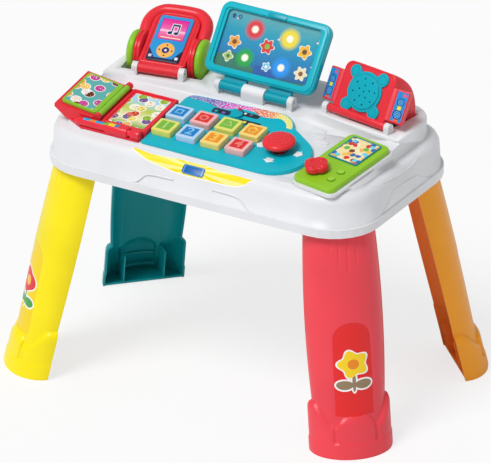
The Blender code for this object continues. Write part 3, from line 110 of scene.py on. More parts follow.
lamp = bpy.data.lights.new("soft_lamp", "SUN")
lamp.energy = 1.95
lamp.angle = math.radians(24)
lamp_object = bpy.data.objects.new("soft_lamp", lamp)
bpy.context.collection.objects.link(lamp_object)
lamp_object.rotation_euler = Vector((-0.16, -0.52, 0.84)).to_track_quat("Z", "Y").to_euler()

bpy.ops.object.select_all(action="DESELECT")
bpy.ops.mesh.primitive_plane_add(size=30.0, location=(0.0, 0.0, 0.0))
floor = bpy.context.object
floor.name = "floor"
sheet = bpy.data.materials.new("floor_sheet")
sheet.use_nodes = True
tree = sheet.node_tree
base = tree.nodes["Principled BSDF"]
base.inputs["Base Color"].default_value = shade(246, 246, 247)
base.inputs["Roughness"].default_value = 0.9
base.inputs["Specular IOR Level"].default_value = 0.1
glow = add_node(tree, "Emission")
share = add_node(tree, "Math", [(0, add_node(tree, "LightPath").outputs["Is Camera Ray"]),
    (1, 0.72)])
share.operation = "MULTIPLY"
mixer = add_node(tree, "MixShader", [(0, share.outputs[0]), (1, base.outputs[0]),
    (2, glow.outputs[0])])
tree.links.new(mixer.outputs[0], tree.nodes["Material Output"].inputs["Surface"])
floor.data.materials.append(sheet)


# The table top: one large injection moulding in glossy white plastic, with a flared rim,
# a low shoulder and a raised platform. A printed sun-ray band fills its front swoop.
def plastic(name, colour, roughness=0.34, grain=0.02, drift=0.04, grain_scale=900.0):
    """Moulded plastic: its colour drifts a little, and its gloss and skin have a fine grain."""
    material = bpy.data.materials.new(name)
    material.use_nodes = True
    tree = material.node_tree
    shader = tree.nodes["Principled BSDF"].inputs
    place = add_node(tree, "TexCoord").outputs["Object"]
    cloud = add_node(tree, "TexNoise", [("Vector", place), ("Scale", 14.0), ("Detail", 3.0)])
    ramp = add_node(tree, "ValToRGB", [("Fac", cloud.outputs["Fac"])])
    ramp.color_ramp.elements[0].position = 0.3
    ramp.color_ramp.elements[1].position = 0.7
    ramp.color_ramp.elements[0].color = [part * (1 - drift) for part in colour[:3]] + [1.0]
    ramp.color_ramp.elements[1].color = [min(part * (1 + drift), 1.0)
        for part in colour[:3]] + [1.0]
    grit = add_node(tree, "TexNoise", [("Vector", place), ("Scale", grain_scale),
        ("Detail", 2.0)]).outputs["Fac"]
    dull = add_node(tree, "MapRange", [("Value", grit), ("To Min", roughness - 0.05),
        ("To Max", roughness + 0.07)])
    skin = add_node(tree, "Bump", [("Height", grit), ("Strength", grain), ("Distance", 0.0004)])
    for socket, result in (("Base Color", ramp.outputs["Color"]),
            ("Roughness", dull.outputs["Result"]), ("Normal", skin.outputs["Normal"])):
        tree.links.new(result, shader[socket])
    shader["IOR"].default_value = 1.48
    shader["Specular IOR Level"].default_value = 0.32
    return material


def dress(node, material):
    """Gives a CAD node its finish."""
    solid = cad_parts[node]
    for place in solid.material_slots:
        place.material = material
    return solid


def calc(operation, *values):
    """One step of arithmetic in a material, on numbers and on other steps' results."""
    tree = next(value for value in values if not isinstance(value, (int, float))).id_data
    step = add_node(tree, "Math", enumerate(values))
    step.operation = operation
    return step.outputs[0]


def over(value, limit):
    """One where a value is over a limit."""
    return calc("GREATER_THAN", value, limit)


def under(value, limit):
    """One where a value is under a limit."""
    return calc("LESS_THAN", value, limit)


def meet(*masks):
    """One where all the masks are one."""
    result = masks[0]
    for mask in masks[1:]:
        result = calc("MULTIPLY", result, mask)
    return result


def lay_ink(mask, colour):
    """Prints a colour, or another step's colour, over a material where the mask is one."""
    tree = (colour if isinstance(mask, float) else mask).id_data
    shader = tree.nodes["Principled BSDF"]
    under_colour = shader.inputs["Base Color"].links[0].from_socket
    mixer = add_node(tree, "Mix")
    mixer.data_type = "RGBA"
    for socket, value in ((0, mask), (6, under_colour), (7, colour)):
        if isinstance(value, bpy.types.NodeSocket):
            tree.links.new(value, mixer.inputs[socket])
        else:
            mixer.inputs[socket].default_value = value
    tree.links.new(mixer.outputs[2], shader.inputs["Base Color"])


def local_place(material, matrix):
    """The three coordinates of a point in a module's own frame, in metres."""
    tree = material.node_tree
    turned = add_node(tree, "Mapping", [("Vector", add_node(tree, "TexCoord").outputs["Object"])])
    turned.vector_type = "TEXTURE"
    turned.inputs["Location"].default_value = matrix.to_translation()
    turned.inputs["Rotation"].default_value = matrix.to_euler()
    return tuple(add_node(tree, "SeparateXYZ", [(0, turned.outputs["Vector"])]).outputs)


def line_through(value, points, low, high):
    """A smooth line through points in a unit square, read at a value, spread from low to high."""
    curve = add_node(value.id_data, "FloatCurve", [("Value", value)])
    line = curve.mapping.curves[0]
    line.points[0].location = points[0]
    line.points[1].location = points[-1]
    for point in points[1:-1]:
        line.points.new(*point)
    curve.mapping.update()
    return calc("MULTIPLY_ADD", curve.outputs[0], high - low, low)


def settle(piece, name, body, *nodes):
    """Names a finished piece, ties it to its body, and lets it stand for CAD nodes."""
    piece.name = name
    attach(piece, body)
    if nodes:
        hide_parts(*nodes)
    return piece


def moved(x, y, z):
    """A shift, in metres."""
    return Matrix.Translation((x, y, z))


def turned_by(degrees, axis):
    """A turn about an axis."""
    return Matrix.Rotation(math.radians(degrees), 4, axis)


def pick_only(*pieces):
    """Selects these pieces and no other. The first one is active."""
    bpy.ops.object.select_all(action="DESELECT")
    for piece in pieces:
        piece.select_set(True)
    bpy.context.view_layer.objects.active = pieces[0]


def smooth(piece, degrees):
    """Shades a piece smooth apart from the edges that are sharper than an angle."""
    pick_only(piece)
    bpy.ops.object.shade_smooth_by_angle(angle=math.radians(degrees))


def use_modifier(piece, kind, **settings):
    """Adds one modifier to a piece and applies it."""
    modifier = piece.modifiers.new(kind.lower(), kind)
    for setting, value in settings.items():
        setattr(modifier, setting, value)
    bpy.context.view_layer.objects.active = piece
    bpy.ops.object.modifier_apply(modifier=modifier.name)


def turn_faces(inside=False):
    """Turns the faces of the active piece outwards, or inwards."""
    bpy.ops.object.mode_set(mode="EDIT")
    bpy.ops.mesh.select_all(action="SELECT")
    bpy.ops.mesh.normals_make_consistent(inside=inside)
    bpy.ops.object.mode_set(mode="OBJECT")


def round_box(half_x, half_y, corner, centre=(0.0, 0.0), steps=5):
    """The outline of a rectangle with round corners."""
    points = []
    for quarter, (sign_x, sign_y) in enumerate(((1, 1), (-1, 1), (-1, -1), (1, -1))):
        for step in range(steps + 1):
            angle = math.radians(90 * (quarter + step / steps))
            points.append((centre[0] + sign_x * (half_x - corner) + corner * math.cos(angle),
                centre[1] + sign_y * (half_y - corner) + corner * math.sin(angle)))
    return points


def slab(outline, low, high, edge=0.0, segments=3):
    """A flat piece raised from an outline, with its upper edge rounded over."""
    bpy.ops.object.select_all(action="DESELECT")
    bpy.ops.mesh.primitive_circle_add(vertices=len(outline), radius=0.01, fill_type="NGON")
    piece = bpy.context.object
    for point, (x, y) in zip(piece.data.vertices, outline):
        point.co = (x, y, low)
    bpy.ops.object.mode_set(mode="EDIT")
    bpy.ops.mesh.select_mode(type="FACE")
    bpy.ops.mesh.select_all(action="SELECT")
    bpy.ops.mesh.extrude_region_move(TRANSFORM_OT_translate={"value": (0.0, 0.0, high - low)})
    if edge:
        bpy.ops.mesh.bevel(offset=edge, segments=segments, affect="EDGES", clamp_overlap=True)
    turn_faces()
    smooth(piece, 35)
    return piece


def set_down(piece, matrix, material=None):
    """Moves a piece that was modelled flat at the origin to its place, and gives it its finish."""
    piece.data.transform(matrix)
    piece.data.update()
    if material:
        piece.data.materials.clear()
        piece.data.materials.append(material)
    return piece


table_plastic = plastic("white_plastic", shade(230, 231, 234), 0.30)
x, y, z = local_place(table_plastic, Matrix.Identity(4))
across = calc("MULTIPLY_ADD", x, 5.0, 0.5)
down = calc("ADD", y, z)
band_top = line_through(across, [(0.0, 0.655), (0.07, 0.62), (0.14, 0.585), (0.22, 0.604),
    (0.29, 0.634), (0.385, 0.672), (0.47, 0.67), (0.56, 0.68), (0.62, 0.64), (0.69, 0.60),
    (0.82, 0.578), (1.0, 0.54)], 0.19, 0.24)
band_foot = line_through(across, [(0.0, 0.64), (0.085, 0.426), (0.16, 0.296), (0.245, 0.226),
    (0.32, 0.176), (0.40, 0.138), (0.51, 0.132), (0.60, 0.144), (0.70, 0.15), (0.80, 0.166),
    (0.88, 0.262), (0.95, 0.55), (1.0, 0.60)], 0.19, 0.24)
on_front = under(y, -0.128)
on_band = meet(on_front, over(down, band_foot), under(down, band_top),
    under(calc("ABSOLUTE", x), 0.0985))
steep = calc("DIVIDE", calc("SUBTRACT", down, 0.2105), calc("ADD", calc("ABSOLUTE", x), 0.004))
rays = over(calc("SINE", calc("MULTIPLY_ADD", steep, 17.0, 0.9)), 0.0)
under_band = meet(on_front, over(calc("ADD", down, 0.0016), band_foot), under(down, band_top),
    under(calc("ABSOLUTE", x), 0.0998))
lay_ink(under_band, shade(252, 252, 246))
lay_ink(on_band, shade(255, 244, 146))
lay_ink(meet(on_band, rays), shade(250, 226, 8))
top = dress("table_top", table_plastic).copy()
top.data = top.data.copy()
bpy.context.collection.objects.link(top)
pick_only(top)
bpy.ops.object.mode_set(mode="EDIT")
bpy.ops.mesh.select_all(action="SELECT")
bpy.ops.mesh.remove_doubles(threshold=0.000002)
bpy.ops.object.mode_set(mode="OBJECT")
smooth(top, 24)
settle(top, "table_moulding", "root", "table_top")
for node, colour in (("base_cover", shade(226, 227, 230)), ("battery_door", shade(222, 223, 226))):
    dress(node, plastic(f"{node}_plastic", colour, 0.45))

badge_seat = moved(-0.0018, -0.1391, 0.3473) @ turned_by(45, "X")
badge = slab(round_box(0.0166, 0.0066, 0.0032), 0.00015, 0.0011, 0.0004)
badge_ink = plastic("badge_ink", shade(0, 98, 176), 0.25)
x, y, z = local_place(badge_ink, badge_seat)
frame_line = calc("MAXIMUM", calc("MULTIPLY", calc("ABSOLUTE", x), 0.398), calc("ABSOLUTE", y))
lay_ink(meet(over(frame_line, 0.0053), under(frame_line, 0.0057)), shade(120, 190, 235))
settle(set_down(badge, badge_seat, badge_ink), "blank_badge", "root")


def swept_bar(places, thickness, round_steps, run_steps):
    """A round bar along a smooth line of places."""
    line = bpy.data.curves.new("bar", "CURVE")
    line.dimensions = "3D"
    line.bevel_depth = thickness
    line.bevel_resolution = round_steps
    line.use_fill_caps = True
    run = line.splines.new("NURBS")
    run.points.add(len(places) - 1)
    for point, place in zip(run.points, places):
        point.co = (*place, 1.0)
    run.use_endpoint_u = True
    run.order_u = 3
    run.resolution_u = run_steps
    bar = bpy.data.objects.new("bar", line)
    bpy.context.collection.objects.link(bar)
    pick_only(bar)
    bpy.ops.object.convert(target="MESH")
    return bpy.context.object


rim_step_thickness = 0.0014
front_rim = [(0.0300, -0.1444, 0.3296), (0.0441, -0.1445, 0.3294), (0.0600, -0.14455, 0.3292),
    (0.0721, -0.1446, 0.3272), (0.0780, -0.1450, 0.3220), (0.0830, -0.1453, 0.3166),
    (0.0885, -0.1462, 0.3128), (0.0960, -0.1476, 0.3118)]
side_rim = [(0.2459, -0.0640, 0.3119),
    (0.2453, -0.0520, 0.3160), (0.2449, -0.0411, 0.3249), (0.2444, -0.0331, 0.3321),
    (0.2443, -0.0135, 0.3331), (0.2444, 0.0095, 0.3316), (0.2446, 0.0345, 0.3290),
    (0.2450, 0.0508, 0.3183), (0.2455, 0.0700, 0.3125), (0.2458, 0.0900, 0.3119)]
shoulder_rim = [(0.2360, 0.0880, 0.3545), (0.2368, 0.0654, 0.3550), (0.2409, 0.0427, 0.3512),
    (0.2426, 0.0203, 0.3475), (0.2425, -0.0039, 0.3479), (0.2418, -0.0291, 0.3494),
    (0.2400, -0.0573, 0.3524), (0.2362, -0.0790, 0.3548)]
rim_lines = [front_rim, side_rim, shoulder_rim]
rim_lines += [[(-place[0], place[1], place[2]) for place in places] for places in rim_lines]
for number, places in enumerate(rim_lines, start=1):
    step_bar = swept_bar(places, rim_step_thickness, 3, 12)
    step_bar.data.materials.append(table_plastic)
    settle(step_bar, f"rim_step_{number}", "root")


# The legs: four open C-shaped shells of coloured plastic, pushed up into sockets in the
# base cover. Each flares into a foot with two side bulges and a rounded toe cap, has
# pressed folds under the table's rim, and two stiffening ribs inside the foot.
def length_of(first, second):
    """The length of a step along two axes."""
    return calc("SQRT", calc("ADD", calc("MULTIPLY", first, first),
        calc("MULTIPLY", second, second)))


def spot(u, v, centre_u, centre_v, reach_u, reach_v=None):
    """How far out a point is from an oval's middle, one at the oval's edge."""
    return length_of(calc("DIVIDE", calc("SUBTRACT", u, centre_u), reach_u),
        calc("DIVIDE", calc("SUBTRACT", v, centre_v), reach_v or reach_u))


def oval(*place_and_reach):
    """One inside an oval."""
    return under(spot(*place_and_reach), 1.0)


def bloom(u, v, centre_u, centre_v, reach, petals, depth):
    """One inside a flower with round petals."""
    angle = calc("MULTIPLY", calc("ARCTAN2", calc("SUBTRACT", v, centre_v),
        calc("SUBTRACT", u, centre_u)), petals)
    edge = calc("MULTIPLY_ADD", calc("COSINE", angle), depth, 1.0 - depth)
    return under(calc("DIVIDE", spot(u, v, centre_u, centre_v, reach), edge), 1.0)


def flat_place(material, layer):
    """The two coordinates of a piece's own UV map, in metres."""
    chart = add_node(material.node_tree, "UVMap")
    chart.uv_map = layer
    return tuple(add_node(material.node_tree, "SeparateXYZ", [(0, chart.outputs[0])]).outputs)[:2]


leg_foot_place = (0.2452, 0.1422)
leg_top_place = (0.1945, 0.0918)
leg_top_level = 0.300
leg_faces = math.radians(44.8)
leg_high = 0.301
leg_wall = 0.003
shin_levels = (0.0695, 0.180, 0.301)
shin_half_widths = (0.0505, 0.0540, 0.0490)
shin_depths = (0.0400, 0.0430, 0.0432)
foot_half_width = 0.0568
foot_depth = 0.0446
plug_half_width = 0.0450
plug_depth = 0.0385
plug_high = 0.0245
panel_levels = (0.050, 0.190)
panel_crown = 0.183


def shin_size(height):
    """The half width and the depth of the shin, on a smooth bow through three levels."""
    height = max(height, shin_levels[0])
    shares = []
    for level in shin_levels:
        near, far = (other for other in shin_levels if other != level)
        shares.append((height - near) * (height - far) / ((level - near) * (level - far)))
    return [sum(size * share for size, share in zip(sizes, shares))
        for sizes in (shin_half_widths, shin_depths)]


def soft(value):
    """A ramp from 0 to 1 that starts and ends gently."""
    value = min(max(value, 0.0), 1.0)
    return value * value * (3 - 2 * value)


def domed_edge(value):
    """A ramp from 0 to 1 that rises like a quarter of a circle."""
    value = min(max(value, 0.0), 1.0)
    return math.sqrt(1 - (1 - value) ** 2)


def foot_share(side, height):
    """How far the foot stands out from the shin: two side bulges, a toe cap and a ring."""
    shoulder = 0.042 + 0.026 * soft((side - 32) / 44)
    bulge = domed_edge((shoulder - height) / 0.010) * soft((side - 31) / 5)
    toe = 0.0
    if side < 30:
        toe_top = 0.042 + 0.015 * math.sqrt(1 - (side / 30) ** 2)
        toe = domed_edge((toe_top - height) / 0.011) * soft((30 - side) / 4)
    seam = 0.5 * soft((0.043 - height) / 0.004)
    ring = soft((0.0235 - height) / 0.003)
    return max(bulge, toe, seam, ring)


def leg_axis(height, side_x, side_y):
    """A leg's middle at a height, the way that it faces, and the way across it."""
    climb = height / leg_top_level
    x, y = (foot + (top - foot) * climb for foot, top in zip(leg_foot_place, leg_top_place))
    outward = Vector((side_x * math.cos(leg_faces), side_y * math.sin(leg_faces), 0.0))
    return Vector((side_x * x, side_y * y, height)), outward, Vector((-outward.y, outward.x, 0.0))


def leg_point(angle, height, side_x, side_y):
    """A point on the outer skin. The angle is in degrees from the way that the leg faces."""
    side = abs(angle)
    width, depth = shin_size(height)
    share = foot_share(side, height)
    width += (foot_half_width - width) * share
    depth += (foot_depth - depth) * share
    ring = 0.0010 * soft((0.0215 - height) / 0.003) - 0.0009 * soft((0.003 - height) / 0.003)
    fold_depth = 0.0
    for fold, reach in ((0, 0.056), (14, 0.049), (28, 0.032)):
        away_from_fold = (side - fold) / 1.25
        fade = soft((height - leg_high + reach) / 0.014)
        fold_depth += 0.0011 * math.exp(-away_from_fold ** 2) * fade
    panel = 0.0
    across = math.radians(side) * depth
    if panel_levels[0] < height < panel_levels[1]:
        half = 0.0255 - 0.025 * (height - 0.056)
        if height > panel_crown - half:
            half = math.sqrt(max(half ** 2 - (height - panel_crown + half) ** 2, 0.0))
        panel = 0.0005 * soft((half - across) / 0.0012)
    width += ring - fold_depth - panel
    depth += ring - fold_depth - panel
    turned = math.radians(angle)
    middle, outward, sideways = leg_axis(height, side_x, side_y)
    return middle + sideways * width * math.sin(turned) + outward * depth * math.cos(turned)


def plug_point(angle, height, side_x, side_y):
    """A point on the plug that goes up into the base cover's socket."""
    turned = math.radians(angle)
    middle, outward, sideways = leg_axis(height, side_x, side_y)
    across, along = plug_half_width * math.sin(turned), plug_depth * math.cos(turned)
    return middle + sideways * across + outward * along


def make_leg(name, side_x, side_y, outside, inside):
    """One leg: a grid bent round the leg's line, given its wall, with a flat chart of its skin."""
    columns, rows, plug_rows = 150, 150, 4
    bpy.ops.object.select_all(action="DESELECT")
    bpy.ops.mesh.primitive_grid_add(x_subdivisions=columns, y_subdivisions=rows + plug_rows,
        size=1.0)
    leg = bpy.context.object
    chart = {}
    for point in leg.data.vertices:
        angle = point.co.x * 180.0
        row = round((point.co.y + 0.5) * (rows + plug_rows))
        if row <= rows:
            height = leg_high * row / rows
            place = leg_point(angle, height, side_x, side_y)
        else:
            height = leg_high + (row - rows - 1) * plug_high / (plug_rows - 1)
            place = plug_point(angle, height, side_x, side_y)
        chart[point.index] = (math.radians(angle) * 0.045 * side_x * side_y, height)
        point.co = place
    layer = leg.data.uv_layers.new(name="leg")
    for corner in leg.data.loops:
        layer.data[corner.index].uv = chart[corner.vertex_index]
    leg.data.uv_layers.remove(leg.data.uv_layers[0])
    turn_faces(side_x * side_y > 0)
    leg.data.materials.append(outside)
    leg.data.materials.append(inside)
    front = leg_point(0, 0.15, side_x, side_y)
    middle_face = min(leg.data.polygons, key=lambda face: (face.center - front).length)
    outward = Vector((side_x, side_y, 0.0))
    if middle_face.normal.dot(outward) < 0:
        bpy.ops.object.mode_set(mode="EDIT")
        bpy.ops.mesh.flip_normals()
        bpy.ops.object.mode_set(mode="OBJECT")
    use_modifier(leg, "SOLIDIFY", thickness=leg_wall, offset=-1.0, material_offset=1,
        material_offset_rim=1)
    smooth(leg, 38)
    return settle(leg, name + "_shell", "root", name)


rib_beside = 0.0285
rib_thickness = 0.0018


def make_ribs(name, side_x, side_y, material):
    """A foot's floor, two ribs that reach its open side, and two shelves behind its toe cap."""
    floor_line = []
    middle, outward, sideways = leg_axis(0.002, side_x, side_y)
    for step in range(61):
        skin = leg_point(-88 + 176 * step / 60, 0.002, side_x, side_y)
        place = skin + (middle - skin).normalized() * 0.0015
        floor_line.append((place.x, place.y))
    pieces = [slab(floor_line, 0.0006, 0.0034, 0.0004, 2)]
    for side, low, high in (
            (-1, 0.0030, 0.0470), (1, 0.0030, 0.0470), (0, 0.0130, 0.0), (0, 0.0300, 0.0)):
        bpy.ops.object.select_all(action="DESELECT")
        bpy.ops.mesh.primitive_grid_add(x_subdivisions=2, y_subdivisions=16, size=1.0)
        rib = bpy.context.object
        for point in rib.data.vertices:
            inward, along = point.co.x + 0.5, point.co.y + 0.5
            height = low + (high - low) * along if side else low
            middle = leg_axis(height, side_x, side_y)[0]
            if side:
                skins = [leg_point(side * angle, height, side_x, side_y) - middle
                    for angle in range(15, 60)]
                skin = min(skins, key=lambda place: abs(place.dot(sideways) - side * rib_beside))
                deep = skin.dot(outward) - 0.0015
                reach = deep + (0.0008 - deep) * inward
                point.co = middle + sideways * side * rib_beside + outward * reach
            else:
                shelf_depth = 0.0050 if low > 0.02 else 0.0100
                skin = leg_point(-29 + 58 * along, height, side_x, side_y)
                point.co = skin + (middle - skin).normalized() * (0.0014 + shelf_depth * inward)
        use_modifier(rib, "SOLIDIFY", thickness=rib_thickness, offset=0.0)
        turn_faces()
        smooth(rib, 35)
        pieces.append(rib)
    for piece in pieces:
        piece.data.materials.clear()
        piece.data.materials.append(material)
    pick_only(*pieces)
    bpy.ops.object.join()
    settle(pieces[0], name + "_foot_floor", "root")


yellow_leg = plastic("yellow_leg_plastic", shade(250, 230, 4), 0.3)
red_leg = plastic("red_leg_plastic", shade(238, 70, 82), 0.3)
leg_prints = (
    (yellow_leg, 3,
        shade(246, 214, 12), shade(226, 44, 50), shade(250, 190, 60), shade(70, 160, 70)),
    (red_leg, 5,
        shade(232, 42, 42), shade(252, 214, 40), shade(240, 140, 40), shade(150, 128, 100)),
)
for material, petals, panel_colour, flower, heart, leaf in leg_prints:
    u, v = flat_place(material, "leg")
    half = calc("MULTIPLY_ADD", v, -0.025, 0.0269)
    rise = calc("MAXIMUM", calc("ADD", calc("SUBTRACT", v, 0.183), half), 0.0)
    edge = calc("SUBTRACT", calc("MULTIPLY", half, half), calc("MULTIPLY", rise, rise))
    arch = calc("SQRT", calc("MAXIMUM", edge, 0.0))
    lay_ink(meet(under(calc("ABSOLUTE", u), arch), over(v, 0.056)), panel_colour)
    for grow, ink in ((0.0022, shade(250, 250, 248)), (0.0, None)):
        for side in (-1, 1):
            lay_ink(oval(u, v, side * 0.0115, 0.0985, 0.0105 + grow, 0.0062 + grow), ink or leaf)
        lay_ink(oval(u, v, 0.0, 0.102, 0.0022 + grow, 0.0130 + grow), ink or leaf)
        lay_ink(bloom(u, v, 0.0, 0.1265, 0.0190 + grow, petals, 0.13), ink or flower)
    lay_ink(oval(u, v, 0.0, 0.1265, 0.0068), heart)
teal_leg = plastic("teal_leg_plastic", shade(0, 142, 150), 0.32)
orange_leg = plastic("orange_leg_plastic", shade(255, 166, 34), 0.32)
# The insides, with their foot floors and ribs, are copies of the leg plastics in other tones as
# painted light: the teal inside is lighter to lift the shade in the open shell, and the other
# insides are darker, as painted shade.
legs = (
    ("leg_front_left", -1, -1, yellow_leg, shade(242, 212, 10)),
    ("leg_front_right", 1, -1, red_leg, shade(226, 56, 68)),
    ("leg_back_left", -1, 1, teal_leg, shade(0, 150, 158)),
    ("leg_back_right", 1, 1, orange_leg, shade(248, 136, 50)),
)
for name, side_x, side_y, outside, inside_painted_light_colour in legs:
    inside = plastic(outside.name.replace("plastic", "inside"), inside_painted_light_colour, 0.4)
    make_leg(name, side_x, side_y, outside, inside)
    make_ribs(name, side_x, side_y, inside)


# The keyboard panel: a turquoise moulding screwed to the sloping desk. A printed strip of
# speckled colours follows its back edge, with dark chips and marks round the selector.
def patch(u, v, centre_u, centre_v, half_u, half_v, corner=0.001):
    """One inside a rectangle with round corners."""
    out = []
    for value, centre, half in ((u, centre_u, half_u), (v, centre_v, half_v)):
        away_from = calc("ABSOLUTE", calc("SUBTRACT", value, centre))
        out.append(calc("MAXIMUM", calc("SUBTRACT", away_from, half - corner), 0.0))
    return under(length_of(*out), corner)


def blend_of(value, low, high, stops):
    """A colour that runs through the stops as a value goes from low to high."""
    share = calc("DIVIDE", calc("SUBTRACT", value, low), high - low)
    ramp = add_node(value.id_data, "ValToRGB", [("Fac", share)])
    elements = ramp.color_ramp.elements
    for number, (place, colour) in enumerate(stops):
        element = elements[number] if number < 2 else elements.new(place)
        element.position = place
        element.color = colour
    return ramp.outputs["Color"]


def scatter(u, v, scale, colours):
    """Bits of several colours: the colour, and how far a point is from a bit's middle."""
    tree = u.id_data
    flat = add_node(tree, "CombineXYZ", [(0, u), (1, v)])
    bits = add_node(tree, "TexVoronoi", [("Vector", flat.outputs[0]), ("Scale", scale),
        ("Randomness", 0.9)])
    bits.voronoi_dimensions = "2D"
    split = add_node(tree, "SeparateColor", [(0, bits.outputs["Color"])])
    stops = [(number / len(colours), colour) for number, colour in enumerate(colours)]
    colour = blend_of(split.outputs[0], 0.0, 1.0, stops)
    colour.node.color_ramp.interpolation = "CONSTANT"
    return colour, bits.outputs["Distance"]


print_floor = 0.0052
desk_place = moved(0.0, -0.118, 0.362) @ turned_by(7.3, "X")
panel_plastic = plastic("panel_plastic", shade(0, 182, 202), 0.28)
x, s, n = local_place(panel_plastic, desk_place)
back_run = calc("SUBTRACT", calc("MULTIPLY_ADD", x, 0.067, 0.1270), s)
back_bend = calc("SUBTRACT", 0.040, spot(x, s, 0.045, 0.090, 1.0))
past_bend = over(x, 0.045)
inset = calc("ADD", calc("MULTIPLY", back_bend, past_bend),
    calc("MULTIPLY", back_run, calc("SUBTRACT", 1.0, past_bend)))
strip_depth = line_through(calc("MULTIPLY_ADD", x, 5.0, 0.5), [(0.0, 0.36), (0.04, 0.46),
    (0.22, 0.66), (0.36, 0.98), (0.46, 0.60), (0.56, 0.60), (0.66, 0.98), (0.78, 0.66),
    (0.88, 0.52), (1.0, 0.44)], 0.0, 0.0195)
on_strip = meet(over(inset, 0.0024), under(inset, strip_depth), over(x, -0.0905), over(s, 0.0985),
    over(n, print_floor))
lay_ink(on_strip, blend_of(x, -0.085, 0.082, [(0.0, shade(70, 110, 190)),
    (0.22, shade(92, 70, 168)), (0.36, shade(214, 84, 196)), (0.52, shade(226, 90, 190)),
    (0.62, shade(246, 112, 70)), (0.76, shade(250, 150, 70)), (0.82, shade(250, 230, 90)),
    (1.0, shade(240, 232, 110))]))
speck, near_speck = scatter(x, s, 330.0, [shade(255, 255, 255), shade(255, 240, 250)])
lay_ink(meet(on_strip, under(near_speck, 0.27)), speck)
for centre_x, centre_s, half_x, half_s in ((-0.0270, 0.0985, 0.0140, 0.0058),
        (0.0215, 0.0880, 0.0170, 0.0056), (0.0135, 0.1060, 0.0140, 0.0048)):
    lay_ink(meet(patch(x, s, centre_x, centre_s, half_x, half_s, 0.003), over(n, print_floor)),
        shade(38, 42, 60))
for centre_x, centre_s, half, ink in (
        (-0.0350, 0.0975, 0.0022, shade(40, 170, 180)),
        (-0.0235, 0.0975, 0.0024, shade(130, 90, 190)),
        (0.0145, 0.0880, 0.0026, shade(240, 222, 70)),
        (0.0255, 0.0880, 0.0024, shade(110, 190, 60)),
        (0.0050, 0.1075, 0.0018, shade(250, 250, 250)),
        (0.0140, 0.1075, 0.0018, shade(120, 120, 140))):
    lay_ink(patch(x, s, centre_x, centre_s, half, half, 0.0008), ink)
dress("keyboard_panel", panel_plastic)

arrow = [(-0.0042, -0.0036), (0.0042, -0.0036), (0.0042, 0.0006), (0.0064, 0.0006), (0.0, 0.0052),
    (-0.0064, 0.0006), (-0.0042, 0.0006)]
arrow_size = 1.3
arrow_ink = plastic("white_mark_ink", shade(238, 240, 242), 0.35)
stick_place = desk_place @ moved(0.0925, 0.0475, 0.0)
for number, turned in enumerate((0, 90, 180, 270), start=1):
    mark = slab([(arrow_size * point_x, arrow_size * point_y) for point_x, point_y in arrow],
        0.0061, 0.0068, 0.0002, 2)
    place = stick_place @ turned_by(turned, "Z") @ moved(0.0, 0.0288, 0.0)
    settle(set_down(mark, place, arrow_ink), f"joystick_mark_{number}", "root")

for number, (mark_x, mark_s, half_x, half_s) in enumerate(((0.1120, 0.1180, 0.0120, 0.0052),
        (0.1190, 0.1050, 0.0098, 0.0030), (0.1290, 0.0940, 0.0115, 0.0042)), start=1):
    raised_mark = slab(round_box(half_x, half_s, half_s * 0.9, (mark_x, mark_s), 8), -0.0008,
        0.0013, 0.0006, 2)
    settle(set_down(raised_mark, desk_place, table_plastic), f"raised_mark_{number}", "root")


# The keys: eight square blocks of clear tinted plastic over a coloured tile, each on a
# stem that presses a rubber dome. Four carry numbers and four carry plain shapes.
key_mark_high = 0.0003


def circle(radius, count, centre=(0.0, 0.0), first=0):
    """Points round a circle, from a first angle in degrees."""
    angles = [math.radians(first + 360 * step / count) for step in range(count)]
    return [(centre[0] + radius * math.cos(angle), centre[1] + radius * math.sin(angle))
        for angle in angles]


def combine(piece, other, operation):
    """Cuts, crops or grows a piece by another one, which is used up."""
    use_modifier(piece, "BOOLEAN", object=other, operation=operation, solver="EXACT")
    bpy.data.objects.remove(other, do_unlink=True)


def key_mark(number, points=0, width=0.0):
    """A thin printed mark on top of a key: its number, or a plain shape with so many corners."""
    if points:
        first = 135 if points == 4 else 90
        mark = slab(circle(width, points, first=first), 0.0, key_mark_high)
        combine(mark, slab(circle(width * 0.55, points, first=first), -0.001, 0.001), "DIFFERENCE")
        return mark
    bpy.ops.object.select_all(action="DESELECT")
    bpy.ops.object.text_add()
    mark = bpy.context.object
    mark.data.body = str(number)
    mark.data.size = 0.0225
    mark.data.align_x = "CENTER"
    mark.data.align_y = "CENTER"
    mark.data.offset = 0.0005
    mark.data.extrude = key_mark_high / 2
    bpy.ops.object.convert(target="MESH")
    mark = bpy.context.object
    mark.data.transform(moved(0.0, 0.0, key_mark_high / 2))
    return mark


